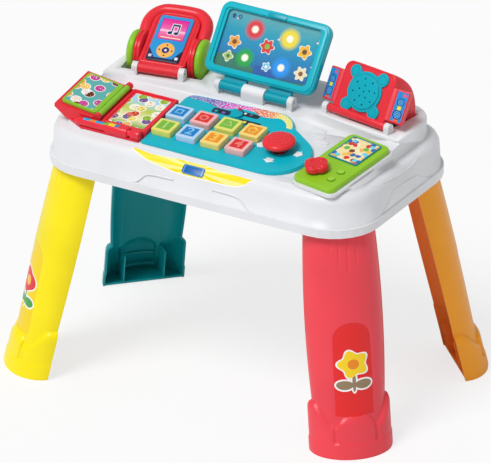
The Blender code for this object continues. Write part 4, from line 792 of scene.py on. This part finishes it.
key_tints = {"green": (shade(234, 230, 116), shade(124, 190, 66), shade(184, 218, 118)),
    "blue": (shade(188, 220, 247), shade(20, 130, 204), shade(120, 196, 242)),
    "orange": (shade(252, 222, 128), shade(246, 150, 24), shade(252, 204, 90)),
    "red": (shade(251, 186, 184), shade(226, 44, 46), shade(244, 124, 116))}
key_order = ("green", "blue", "orange", "red", "blue", "red", "green", "orange")
key_shapes = {5: 4, 6: 24, 7: 3, 8: 5}
for number, tint in enumerate(key_order, start=1):
    rim, tile, pale = key_tints[tint]
    column, row = (number - 1) % 4, (number - 1) // 4
    seat = desk_place @ moved(-0.0715 + 0.038 * column, 0.0257 + 0.0383 * row, 0.0)
    clear = plastic(f"key_{number}_plastic", rim, 0.18, 0.01)
    shader = clear.node_tree.nodes["Principled BSDF"]
    shader.inputs["Subsurface Weight"].default_value = 0.25
    shader.inputs["Subsurface Scale"].default_value = 0.004
    u, v, n = local_place(clear, seat)
    on_top = over(n, 0.0140)
    lay_ink(under(n, 0.0075), tuple(0.92 * part for part in rim[:3]) + (1.0,))
    between = tuple(0.5 * part + 0.5 * light for part, light in zip(tile[:3], rim[:3])) + (1.0,)
    for half, ink in ((0.0106, between), (0.0099, tile)):
        lay_ink(meet(on_top, patch(u, v, 0.0, 0.0, half, half, 0.0008)), ink)
    dress(f"key_{number}", clear)
    mark = key_mark(number, key_shapes.get(number, 0), 0.0078 if number != 6 else 0.0064)
    mark_ink = plastic(f"key_{number}_mark_ink", pale, 0.3)
    set_down(mark, seat @ moved(0.0, 0.0, 0.01453), mark_ink)
    settle(mark, f"key_{number}_mark", f"key_{number}")


# The joystick: a red mushroom cap on a stem that tilts in a gimbal ring. Fine raised rings
# are moulded into its top. The mode selector beside it is a small lever with a red tip.
stick_plastic = plastic("joystick_plastic", shade(232, 48, 56), 0.26)
u, v, n = local_place(stick_plastic, stick_place)
reach = spot(u, v, 0.0, 0.0, 0.0216)
ripple = calc("MULTIPLY", calc("SINE", calc("MULTIPLY", reach, 19.0)),
    meet(under(reach, 0.84), over(n, 0.0165)))
stick_normal = stick_plastic.node_tree.nodes["Principled BSDF"].inputs["Normal"]
raised = add_node(stick_plastic.node_tree, "Bump", [("Strength", 0.5), ("Distance", 0.0005),
    ("Height", ripple), ("Normal", stick_normal.links[0].from_socket)])
stick_plastic.node_tree.links.new(raised.outputs["Normal"], stick_normal)


def lathe(rings, sides=72):
    """A round piece raised ring by ring: each ring is its radius and its height."""
    bpy.ops.object.select_all(action="DESELECT")
    bpy.ops.mesh.primitive_circle_add(vertices=sides, radius=rings[0][0], fill_type="NGON")
    piece = bpy.context.object
    bpy.ops.object.mode_set(mode="EDIT")
    bpy.ops.mesh.select_mode(type="FACE")
    bpy.ops.mesh.select_all(action="SELECT")
    bpy.ops.transform.translate(value=(0.0, 0.0, rings[0][1]))
    for (radius, rise), (next_radius, next_rise) in zip(rings, rings[1:]):
        climb = (0.0, 0.0, next_rise - rise)
        bpy.ops.mesh.extrude_region_move(TRANSFORM_OT_translate={"value": climb})
        share = next_radius / radius
        bpy.ops.transform.resize(value=(share, share, 1.0), center_override=(0.0, 0.0, 0.0))
    turn_faces()
    smooth(piece, 40)
    return piece


stick_cap = lathe([(0.0035, -0.0098), (0.0045, -0.0090), (0.0045, 0.0050), (0.0070, 0.0060),
    (0.0078, 0.0092), (0.0104, 0.0112), (0.0140, 0.0122), (0.0152, 0.0138), (0.0172, 0.0147),
    (0.0205, 0.0154), (0.0221, 0.0164), (0.0227, 0.0180), (0.0226, 0.0196), (0.0218, 0.0212),
    (0.0200, 0.0225), (0.0168, 0.0235), (0.0124, 0.0241), (0.0080, 0.0244), (0.0040, 0.0245)])
settle(set_down(stick_cap, stick_place, stick_plastic), "joystick_cap", "joystick", "joystick")
dress("mode_selector", plastic("selector_plastic", shade(0, 168, 188), 0.3))
dress("selector_tip", plastic("selector_tip_plastic", shade(228, 44, 52), 0.3))
for node in ("joystick_gimbal", "dpad_gimbal"):
    dress(node, plastic(f"{node}_plastic", shade(210, 212, 214), 0.4))


# The console: a green moulding shaped like a handheld game, screwed into a tray on the
# desk. Its screen is a printed card, and its red direction pad rocks on a gimbal ring.
console_place = desk_place @ moved(0.187, 0.050, 0.0) @ turned_by(-9.2, "Z")
console_plastic = plastic("console_plastic", shade(146, 202, 38), 0.24)
u, v, n = local_place(console_plastic, console_place)
# Each button gets a painted shade ring of darker green round its edge, where shade falls in the
# crease, and a lighter green disc over its dome.
for button_v in (-0.0220, -0.0430):
    for reach, ink in ((0.0060, shade(104, 160, 22)), (0.0049, shade(158, 212, 52))):
        lay_ink(oval(u, v, 0.0170, button_v, reach), ink)
dress("console_housing", console_plastic)
screen_card = plastic("console_screen_card", shade(250, 232, 178), 0.22)
u, v, n = local_place(screen_card, console_place)
screen_bits, near_bit = scatter(u, v, 120.0, [shade(250, 226, 160), shade(222, 52, 44),
    shade(250, 200, 90), shade(110, 190, 60), shade(250, 238, 200), shade(60, 110, 180),
    shade(130, 70, 40), shade(120, 210, 235), shade(252, 232, 180), shade(250, 180, 80)])
lay_ink(under(near_bit, 0.50), screen_bits)
for centre_u, centre_v in ((-0.0150, 0.0095), (0.0150, 0.0095), (-0.0150, 0.0485), (0.0150, 0.0485),
        (0.0170, 0.0290)):
    lay_ink(patch(u, v, centre_u, centre_v, 0.0034, 0.0030, 0.0012), shade(110, 214, 240))
frame_out = calc("SUBTRACT", 1.0, patch(u, v, 0.0, 0.0290, 0.0222, 0.0262, 0.0012))
lay_ink(frame_out, shade(0, 134, 158))
dress("console_screen", screen_card)

pad_place = console_place @ moved(-0.0145, -0.0345, 0.0)
pad_outline = []
for step in range(96):
    angle = math.radians(360 * step / 96)
    lobes = 0.5 + 0.5 * math.cos(4 * angle)
    reach = 0.0149 + 0.0024 * abs(math.sin(2 * angle)) ** 0.8 - 0.0004 * lobes ** 8
    pad_outline.append((reach * math.cos(angle + math.pi / 4),
        reach * math.sin(angle + math.pi / 4)))
pad = slab(pad_outline, 0.0139, 0.0216, 0.0022, 4)
neck = slab(round_box(0.0050, 0.0050, 0.0049), 0.0002, 0.0145)
lobe_pieces = []
for turned in (0, 90, 180, 270):
    bpy.ops.object.select_all(action="DESELECT")
    bpy.ops.mesh.primitive_uv_sphere_add(segments=24, ring_count=12, radius=0.0048)
    lobe = bpy.context.object
    lobe.data.transform(Matrix.Diagonal((1.0, 1.0, 0.5, 1.0)))
    lobe.data.transform(turned_by(turned, "Z") @ moved(0.0110, 0.0, 0.0209))
    lobe_pieces.append(lobe)
pick_only(pad, neck, *lobe_pieces)
bpy.ops.object.join()
use_modifier(pad, "REMESH", mode="VOXEL", voxel_size=0.0004, use_smooth_shade=True)
use_modifier(pad, "SMOOTH", factor=0.5, iterations=3)
settle(set_down(pad, pad_place, plastic("direction_pad_plastic", shade(228, 44, 52), 0.24)),
    "direction_pad", "dpad", "console_dpad")


# The book: a red cover with one raised wing, and a green page that turns about a steel
# pin between two knobs. The pictures are printed cards glued into shallow recesses.
book_plastic = plastic("book_plastic", shade(234, 46, 62), 0.27)
x, s, n = local_place(book_plastic, desk_place)
recess = meet(patch(x, s, -0.1250, 0.0480, 0.0272, 0.0378, 0.002), over(n, 0.0090))
lay_ink(recess, blend_of(s, 0.010, 0.086, [(0.0, shade(120, 176, 60)), (0.25, shade(246, 238, 190)),
    (0.55, shade(190, 210, 70)), (0.8, shade(170, 216, 236)), (1.0, shade(186, 222, 240))]))
food, near_food = scatter(x, s, 62.0, [shade(214, 40, 40), shade(250, 222, 120),
    shade(240, 180, 110), shade(150, 200, 60), shade(252, 244, 220), shade(120, 90, 160),
    shade(232, 110, 90), shade(252, 250, 240)])
lay_ink(meet(recess, under(near_food, 0.46)), shade(252, 250, 236))
lay_ink(meet(recess, under(near_food, 0.38)), food)
crumb, near_crumb = scatter(x, s, 260.0, [shade(180, 40, 36), shade(120, 170, 50),
    shade(250, 214, 100), shade(140, 84, 50)])
lay_ink(meet(recess, under(near_food, 0.30), under(near_crumb, 0.22)), crumb)
dress("book_base", book_plastic)

page_place = desk_place @ moved(-0.166, 0.0, 0.015) @ turned_by(8, "Y")
page_plastic = plastic("page_plastic", shade(140, 198, 52), 0.27)
x, s, n = local_place(page_plastic, page_place)
for low, high in ((0.0018, 0.004), (-0.004, -0.0018)):
    printed = meet(patch(x, s, -0.0340, 0.0480, 0.0222, 0.0345, 0.002), over(n, low),
        under(n, high))
    lay_ink(printed, shade(96, 178, 176))
    treat, near_treat = scatter(x, s, 58.0, [shade(92, 44, 22), shade(250, 214, 120),
        shade(206, 60, 160), shade(250, 232, 220), shade(246, 170, 50), shade(250, 246, 240),
        shade(96, 48, 26)])
    lay_ink(meet(printed, under(near_treat, 0.45)), shade(250, 248, 240))
    lay_ink(meet(printed, under(near_treat, 0.38)), treat)
    sugar, near_sugar = scatter(x, s, 240.0, [shade(250, 240, 230), shade(236, 130, 40),
        shade(190, 60, 150)])
    lay_ink(meet(printed, under(near_treat, 0.30), under(near_sugar, 0.2)), sugar)
dress("book_page", page_plastic)

pen_place = desk_place @ moved(0.0, -0.0045, 0.0090)
stripes_start, stripes_end = -0.1815, -0.1260
pen_plastic = plastic("pen_plastic", shade(234, 48, 64), 0.24)
x, s, n = local_place(pen_plastic, pen_place)
on_stripes = meet(over(x, stripes_start), under(x, stripes_end),
    over(calc("MULTIPLY_ADD", s, 1.6, n), 0.0006))
stripe = blend_of(x, stripes_start, stripes_end, [(0.0, shade(18, 168, 222)),
    (0.19, shade(236, 140, 44)), (0.34, shade(18, 168, 222)), (0.55, shade(120, 184, 60)),
    (0.72, shade(250, 206, 40)), (0.89, shade(50, 140, 180))])
stripe.node.color_ramp.interpolation = "CONSTANT"
lay_ink(on_stripes, stripe)
pen = lathe([(0.0030, -0.1950), (0.0046, -0.1925), (0.0058, -0.1880), (0.0058, -0.1480),
    (0.0064, -0.1474), (0.0072, -0.1462), (0.0074, -0.1440), (0.0074, -0.1150), (0.0068, -0.1128),
    (0.0046, -0.1118), (0.0042, -0.1100), (0.0042, -0.1085), (0.0058, -0.1075), (0.0064, -0.1060),
    (0.0064, -0.0960), (0.0058, -0.0940), (0.0030, -0.0932)], 40)
settle(set_down(pen, pen_place @ turned_by(90, "Y"), pen_plastic), "marker_pen", "root", "book_pen")


# The tablet: a turquoise bezel and back that clip together round a clear window, with a
# printed picture and four small lamps behind it. It tilts on a pin under a white cover.
tablet_place = moved(-0.002, 0.0255, 0.395) @ turned_by(53.4, "X")
tablet_plastic = plastic("tablet_plastic", shade(0, 182, 200), 0.24)
dress("tablet_frame", tablet_plastic)
dress("tablet_back", plastic("tablet_back_plastic", shade(0, 160, 180), 0.3))
dress("hinge_cover", plastic("hinge_cover_plastic", shade(236, 237, 239), 0.3))

tablet_middle = (0.0, 0.0636)
lip = slab(round_box(0.0820, 0.0475, 0.0130, tablet_middle, 8), 0.0069, 0.0069 + 0.0016, 0.0008, 3)
combine(lip, slab(round_box(0.0767, 0.0412, 0.0072, tablet_middle, 8), 0.0060, 0.0100),
    "DIFFERENCE")
smooth(lip, 35)
settle(set_down(lip, tablet_place @ moved(0.0, 0.0, 0.0001), tablet_plastic), "tablet_lip",
    "tablet")

latch = slab(round_box(0.0142, 0.0030, 0.0014, (0.0024, 0.1071)), 0.0080, 0.0100, 0.0006, 2)
settle(set_down(latch, tablet_place, plastic("latch_plastic", shade(0, 158, 182), 0.26)),
    "tablet_latch_tab", "tablet")

picture_card = plastic("tablet_picture_card", shade(24, 120, 170), 0.5)
u, v, n = local_place(picture_card, tablet_place @ moved(0.005, 0.0, 0.0))
lay_ink(1.0, blend_of(v, 0.024, 0.104, [(0.0, shade(22, 92, 150)), (0.35, shade(12, 128, 186)),
    (0.7, shade(20, 156, 184)), (1.0, shade(96, 172, 178))]))
hill = line_through(calc("MULTIPLY_ADD", u, 6.9, 0.5), [(0.0, 0.50), (0.12, 0.62), (0.25, 0.52),
    (0.36, 0.24), (0.5, 0.10), (0.7, 0.04), (1.0, 0.12)], 0.024, 0.060)
lay_ink(under(v, hill), shade(46, 120, 96))
lay_ink(patch(u, v, 0.0, 0.0300, 0.0170, 0.0070, 0.0020), shade(26, 86, 168))
star, near_star = scatter(u, v, 420.0, [shade(110, 190, 220), shade(60, 150, 190)])
lay_ink(under(near_star, 0.10), star)
# The four lamps' light is painted onto the card: a coloured painted glow fades out round each lamp,
# with a white painted glow at its middle.
painted_lamp_glow = shade(255, 252, 232)
for centre_u, centre_v, reach, colour in (
        (-0.0325, 0.0837, 0.0165, shade(226, 36, 44)),
        (0.0220, 0.0824, 0.0170, shade(246, 222, 30)),
        (-0.0348, 0.0429, 0.0155, shade(20, 170, 60)),
        (0.0219, 0.0415, 0.0165, shade(20, 150, 240))):
    for wide, rise, most, ink in ((reach, 2.4, 0.96, colour), (0.0062, 2.6, 1.0, painted_lamp_glow)):
        fade = calc("MAXIMUM", calc("SUBTRACT", 1.0, spot(u, v, centre_u, centre_v, wide)), 0.0)
        lay_ink(calc("MINIMUM", calc("MULTIPLY", fade, rise), most), ink)
for centre_u, centre_v, reach, petals, colour, heart in (
        (-0.0570, 0.0610, 0.0092, 5, shade(238, 160, 50), shade(120, 70, 30)),
        (-0.0075, 0.0650, 0.0104, 6, shade(222, 50, 50), shade(130, 190, 60)),
        (0.0490, 0.0700, 0.0100, 5, shade(246, 184, 40), shade(110, 70, 40)),
        (0.0530, 0.0400, 0.0092, 6, shade(240, 226, 180), shade(140, 80, 50)),
        (-0.0600, 0.0400, 0.0070, 4, shade(170, 200, 110), shade(60, 120, 60)),
        (0.0, 0.0380, 0.0060, 5, shade(120, 200, 230), shade(240, 240, 250))):
    for grow, ink in ((0.0013, shade(246, 246, 236)), (0.0, colour)):
        lay_ink(bloom(u, v, centre_u, centre_v, reach + grow, petals, 0.16), ink)
    lay_ink(oval(u, v, centre_u, centre_v, reach * 0.36), heart)
note_pink = shade(250, 210, 210)
for centre_u, centre_v in ((-0.0620, 0.0930), (0.0060, 0.0780), (0.0640, 0.0860), (0.0660, 0.0520)):
    lay_ink(oval(u, v, centre_u, centre_v, 0.0019, 0.0014), note_pink)
    lay_ink(patch(u, v, centre_u + 0.0015, centre_v + 0.0026, 0.0004, 0.0028, 0.0002), note_pink)
icon_blue = shade(18, 70, 130)
for grow, ink in ((0.0, icon_blue), (-0.0012, shade(74, 152, 166))):
    lay_ink(oval(u, v, -0.0597, 0.0955, 0.0030 + grow, 0.0034 + grow), ink)
roof = calc("ADD", calc("ABSOLUTE", calc("ADD", u, 0.0690)), v)
lay_ink(meet(under(roof, 0.0995), over(v, 0.0955)), icon_blue)
lay_ink(patch(u, v, -0.0690, 0.0942, 0.0022, 0.0020, 0.0004), icon_blue)
picture_card.node_tree.nodes["Principled BSDF"].inputs["Specular IOR Level"].default_value = 0.15
dress("tablet_picture", picture_card)

window_clear = plastic("window_clear", shade(210, 235, 245), 0.12, 0.005)
window_clear.node_tree.nodes["Principled BSDF"].inputs["Alpha"].default_value = 0.02
dress("tablet_window", window_clear)
dress("tablet_lights", plastic("lamp_board", shade(40, 120, 80), 0.4))


# The headphones: a red housing with a padded-looking arch band over it, ridged red cushions
# and green cups at its sides, and a printed music player card on its face.
phones_place = moved(-0.152, 0.025, 0.3932) @ turned_by(10.3, "Z") @ turned_by(28, "X")
phones_plastic = plastic("headphones_plastic", shade(236, 48, 60), 0.26)
for node in ("headphones_housing", "headphones_back"):
    dress(node, phones_plastic)
cup_plastic = plastic("ear_cup_plastic", shade(142, 200, 44), 0.3, 0.05, 0.05, 500.0)
cushion_rings = [(0.0150, 0.0341), (0.0250, 0.0341), (0.0272, 0.0350), (0.0279, 0.0366),
    (0.0276, 0.0382), (0.0264, 0.0391), (0.0264, 0.0395), (0.0277, 0.0404), (0.0280, 0.0418),
    (0.0276, 0.0430), (0.0262, 0.0437), (0.0150, 0.0437)]
cup_rings = [(0.0150, 0.0440), (0.0255, 0.0440), (0.0270, 0.0448), (0.0279, 0.0466),
    (0.0280, 0.0486), (0.0274, 0.0508), (0.0258, 0.0530), (0.0228, 0.0547), (0.0180, 0.0557),
    (0.0120, 0.0562), (0.0050, 0.0564)]
for side, turned, label in ((-1, -90, "left"), (1, 90, "right")):
    seat = phones_place @ moved(0.0, 0.039, -0.0157) @ turned_by(turned, "Y")
    settle(set_down(lathe(cushion_rings), seat, phones_plastic), f"ear_cushion_{label}",
        "headphones", f"ear_cup_{label}")
    settle(set_down(lathe(cup_rings), seat, cup_plastic), f"ear_disc_{label}", "headphones",
        f"ear_cup_{label}")


def bead(places, thickness):
    """A smooth round bar along a line of places."""
    bar = swept_bar(places, thickness, 5, 6)
    bpy.ops.object.mode_set(mode="EDIT")
    bpy.ops.mesh.select_all(action="SELECT")
    bpy.ops.mesh.remove_doubles(threshold=0.00001)
    turn_faces()
    smooth(bar, 50)
    return bar


arch_line = [(-0.0418, 0.0560, -0.0090), (-0.0420, 0.0640, -0.0075), (-0.0421, 0.0740, -0.0060)]
for step in range(13):
    angle = math.radians(180 - 15 * step)
    middle = 0.0141 * ((step > 6) - (step < 6))
    arch_line.append((middle + 0.0280 * math.cos(angle), 0.0782 + 0.0276 * math.sin(angle),
        -0.0055))
arch_line += [(0.0421, 0.0740, -0.0060), (0.0420, 0.0640, -0.0075), (0.0418, 0.0560, -0.0090)]
settle(set_down(bead(arch_line, 0.0089), phones_place, phones_plastic), "headphones_arch",
    "headphones", "headphones_band")
face_rim_rise = 0.0018
left_half = [(-0.0285, 0.0115, face_rim_rise), (-0.0285, 0.0300, face_rim_rise),
    (-0.0285, 0.0600, face_rim_rise), (-0.0285, 0.0780, face_rim_rise),
    (-0.0275, 0.0860, face_rim_rise), (-0.0235, 0.0915, face_rim_rise),
    (-0.0160, 0.0936, face_rim_rise)]
rim_line = left_half + [(0.0, 0.0940, face_rim_rise)] + [(-place[0], *place[1:])
    for place in reversed(left_half)]
settle(set_down(bead(rim_line, 0.0015), phones_place, phones_plastic), "headphones_face_rim",
    "headphones")

player = slab(round_box(0.0238, 0.0384, 0.0035, (0.0, 0.0508)), 0.0023, 0.0042, 0.0006, 2)
player_card = plastic("player_card", shade(44, 152, 218), 0.25)
u, v, n = local_place(player_card, phones_place)
corner_band = calc("MAXIMUM", calc("MULTIPLY_ADD", calc("ABSOLUTE", u), 1.5, -0.0020), 0.0175)
lay_ink(under(v, corner_band), shade(34, 42, 70))
for side, ink in ((-1, shade(220, 200, 225)), (1, shade(236, 232, 244))):
    lay_ink(patch(u, v, side * 0.0188, 0.0195, 0.0023, 0.0023, 0.0008), ink)
lay_ink(patch(u, v, 0.0, 0.0665, 0.0192, 0.0178, 0.0015), shade(150, 60, 190))
screen = patch(u, v, 0.0, 0.0665, 0.0180, 0.0166, 0.0010)
lay_ink(screen, blend_of(v, 0.050, 0.083, [(0.0, shade(236, 80, 130)), (0.33, shade(246, 120, 175)),
    (0.42, shade(252, 214, 232)), (0.50, shade(244, 110, 180)), (0.75, shade(238, 70, 160)),
    (1.0, shade(232, 40, 150))]))
lay_ink(patch(u, v, 0.0, 0.0525, 0.0145, 0.0007, 0.0003), shade(250, 236, 200))
for grow, ink in ((0.0011, shade(245, 235, 245)), (0.0, shade(32, 58, 96))):
    for side in (-1, 1):
        lay_ink(oval(u, v, side * 0.0044 + 0.0010, 0.0608, 0.0033 + grow, 0.0026 + grow), ink)
        lay_ink(patch(u, v, side * 0.0044 + 0.0031, 0.0680, 0.0009 + grow, 0.0077 + grow, 0.0005),
            ink)
    lay_ink(patch(u, v, 0.0031, 0.0743, 0.0052 + grow, 0.0016 + grow, 0.0004), ink)
wheel_middle = (0.0, 0.0312)
for reach, ink in ((0.0125, shade(252, 186, 90)), (0.0052, shade(52, 54, 112)),
        (0.0018, shade(236, 238, 250))):
    lay_ink(oval(u, v, *wheel_middle, reach), ink)
for place in circle(0.0090, 4, wheel_middle):
    lay_ink(oval(u, v, *place, 0.0013), shade(40, 44, 80))
settle(set_down(player, phones_place, player_card), "music_player", "headphones", "music_panel")


# The speaker: a red quarter-drum housing with a turquoise grille of one disc and four
# round ears, and a small wing at each side with a printed sticker of two speaker rings.
speaker_place = moved(0.1505, 0.037, 0.392) @ turned_by(-9.7, "Z") @ turned_by(62, "X")
speaker_plastic = plastic("speaker_plastic", shade(236, 50, 62), 0.26)
drum_reach = 0.070
quarter = [(0.0, 0.0)]
for step in range(31):
    angle = math.radians(-74 + 74 * step / 30)
    quarter.append((drum_reach * math.cos(angle), drum_reach * math.sin(angle)))
shell = slab(quarter, -0.0440, 0.0440)
shell.data.transform(Matrix(((0.0, 0.0, 1.0, 0.0), (1.0, 0.0, 0.0, 0.0), (0.0, 1.0, 0.0, 0.0),
    (0.0, 0.0, 0.0, 1.0))))
combine(shell, slab(round_box(0.0435, 0.0500, 0.0120, (0.0, 0.0198), 10), -0.0900, 0.0100),
    "INTERSECT")
use_modifier(shell, "BEVEL", width=0.0016, segments=3, limit_method="ANGLE",
    angle_limit=math.radians(40))
barrel = lathe([(0.0040, -0.0488), (0.0052, -0.0484), (0.0056, -0.0474), (0.0056, 0.0474),
    (0.0052, 0.0484), (0.0040, 0.0488)], 48)
barrel.data.transform(turned_by(90, "Y"))
combine(shell, barrel, "UNION")
smooth(shell, 35)
settle(set_down(shell, speaker_place, speaker_plastic), "speaker_shell", "speaker",
    "speaker_housing")

face_side, face_drop, corner_reach = 0.0420, -0.0012, 0.0110
face_line = [(-face_side, rise, face_drop) for rise in (0.0060, 0.0200, 0.0480)]
for step in range(15):
    angle = math.radians(180 - 180 * step / 14)
    middle = 0.0310 * ((step > 7) - (step < 7))
    face_line.append((middle + corner_reach * math.cos(angle),
        0.0574 + corner_reach * math.sin(angle), face_drop))
face_line += [(face_side, rise, face_drop) for rise in (0.0480, 0.0200, 0.0060)]
settle(set_down(bead(face_line, 0.0019), speaker_place, speaker_plastic), "speaker_face_rim",
    "speaker")
grille_plastic = plastic("grille_plastic", shade(0, 172, 192), 0.26)
grille_middle, disc_reach, raised_reach = 0.0349, 0.0278, 0.0242
ear_place, ear_reach = 0.0230, 0.0094
hole_radius = 0.00125
grille_outline = []
for step in range(144):
    angle = math.radians(360 * step / 144)
    reach = disc_reach
    for quarter in range(4):
        away_angle = angle - math.radians(45 + 90 * quarter)
        middle = ear_place * math.sqrt(2)
        beside = middle * math.sin(away_angle)
        if abs(beside) < ear_reach and math.cos(away_angle) > 0:
            reach = max(reach, middle * math.cos(away_angle)
                + math.sqrt(ear_reach ** 2 - beside ** 2))
    grille_outline.append((reach * math.cos(angle), grille_middle + reach * math.sin(angle)))
grille = slab(grille_outline, 0.0003, 0.0030, 0.0010, 3)
combine(grille, slab(circle(raised_reach, 72, (0.0, grille_middle)), 0.0020, 0.0042, 0.0009, 3),
    "UNION")
u, v, n = local_place(grille_plastic, speaker_place)
# Painted shade: darker rings stand for the shade in the groove round the raised disc's edge and in
# the recessed ring of each ear.
painted_groove_shade = shade(0, 138, 160)
groove_shade_rings = [(0.0, grille_middle, raised_reach, 0.0236)]
for side in (-1, 1):
    for end in (-1, 1):
        groove_shade_rings.append((side * ear_place, grille_middle + end * ear_place, 0.0066, 0.0059))
for centre_u, centre_v, outer, inner in groove_shade_rings:
    ring_in = over(spot(u, v, centre_u, centre_v, inner), 1.0)
    lay_ink(meet(ring_in, oval(u, v, centre_u, centre_v, outer)), painted_groove_shade)
drills = []
for ring, count, first in ((0.0, 1, 0), (0.0088, 5, 20), (0.0178, 8, 10)):
    for hole in circle(ring, count, (0.0, grille_middle), first):
        drills.append(slab(circle(hole_radius, 12, hole), -0.001, 0.006))
pick_only(*drills)
bpy.ops.object.join()
combine(grille, drills[0], "DIFFERENCE")
smooth(grille, 35)
settle(set_down(grille, speaker_place, grille_plastic), "speaker_grille_cover", "speaker",
    "speaker_grille")

# The wings' inner shoulders take a lighter pink copy of the wing red, as painted light on the lit
# inner sides of the wings.
wing_side_painted_light_plastic = plastic("speaker_wing_side_plastic", shade(244, 82, 92), 0.28)
for side, label in ((-1, "left"), (1, "right")):
    wing_plastic = plastic(f"speaker_wing_{label}_plastic", shade(236, 54, 66), 0.28)
    wing_seat = speaker_place @ moved(side * 0.0489, 0.0, 0.0) @ turned_by(side * 12, "Y")
    wing_middle = side * 0.0104
    u, v, n = local_place(wing_plastic, wing_seat)
    printed = meet(patch(u, v, wing_middle, 0.0312, 0.0080, 0.0205), over(n, -0.0009))
    lay_ink(printed, shade(44, 140, 214))
    for shift, middle_v, half_u, half_v, ink in ((0.0, 0.0300, 0.0026, 0.0060, shade(240, 230, 60)),
            (0.0, 0.0120, 0.0034, 0.0022, shade(240, 110, 60)),
            (0.003, 0.0478, 0.0030, 0.0020, shade(226, 100, 130))):
        lay_ink(meet(printed, patch(u, v, wing_middle + shift, middle_v, half_u, half_v)), ink)
    for middle_v, reach in ((0.0205, 0.0066), (0.0375, 0.0054)):
        for share, ink in ((1.0, shade(24, 58, 110)), (0.80, shade(80, 160, 226)),
                (0.55, shade(60, 110, 180)), (0.40, shade(90, 170, 230)),
                (0.15, shade(24, 50, 90))):
            lay_ink(meet(printed, oval(u, v, wing_middle, middle_v, reach * share)), ink)
    dress(f"speaker_wing_{label}", wing_plastic)
    inner_edge = slab(round_box(0.0030, 0.0225, 0.0010, (-side * 0.0028, 0.0310)), -0.0085, -0.0004,
        0.0010, 3)
    settle(set_down(inner_edge, wing_seat, wing_side_painted_light_plastic), f"speaker_wing_{label}_shoulder",
        "speaker")
dress("speaker_driver", plastic("driver_paper", shade(38, 38, 42), 0.8, 0.3, 0.1, 1500.0))


# The small parts: steel screws, hinge pins and battery springs, three cells, a rubber
# contact mat and the circuit board that is staked under the keyboard.
def metal(name, colour, roughness):
    """Plated steel with a fine drawn grain."""
    material = plastic(name, colour, roughness, 0.08, 0.06, 1800.0)
    material.node_tree.nodes["Principled BSDF"].inputs["Metallic"].default_value = 1.0
    return material


cover_screws = [f"cover_screw_{number}" for number in range(1, 5)]
for steel, nodes in (
        (metal("screw_steel", shade(176, 178, 182), 0.32), ["door_screw", *cover_screws]),
        (metal("pin_steel", shade(196, 198, 202), 0.24),
            ["book_pin", "tablet_pin", "headphones_pin", "speaker_pin"]),
        (metal("contact_steel", shade(206, 204, 196), 0.3),
            ["battery_contact_left", "battery_contact_right"])):
    for node in nodes:
        dress(node, steel)
cell_cover = plastic("cell_cover", shade(150, 154, 160), 0.35)
x, y, z = local_place(cell_cover, Matrix.Identity(4))
low_corner, high_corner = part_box("battery_1")
copper_end = low_corner[0] + 0.7 * (high_corner[0] - low_corner[0])
lay_ink(over(x, copper_end), shade(206, 140, 60))
for node in ("battery_1", "battery_2", "battery_3"):
    dress(node, cell_cover)
dress("contact_mat", plastic("contact_rubber", shade(190, 192, 188), 0.6, 0.1))
board_green = plastic("board_green", shade(18, 96, 62), 0.4)
x, y, z = local_place(board_green, desk_place)
traces, near_trace = scatter(x, y, 300.0, [shade(40, 130, 84), shade(28, 112, 72)])
lay_ink(under(near_trace, 0.3), traces)
dress("main_board", board_green)
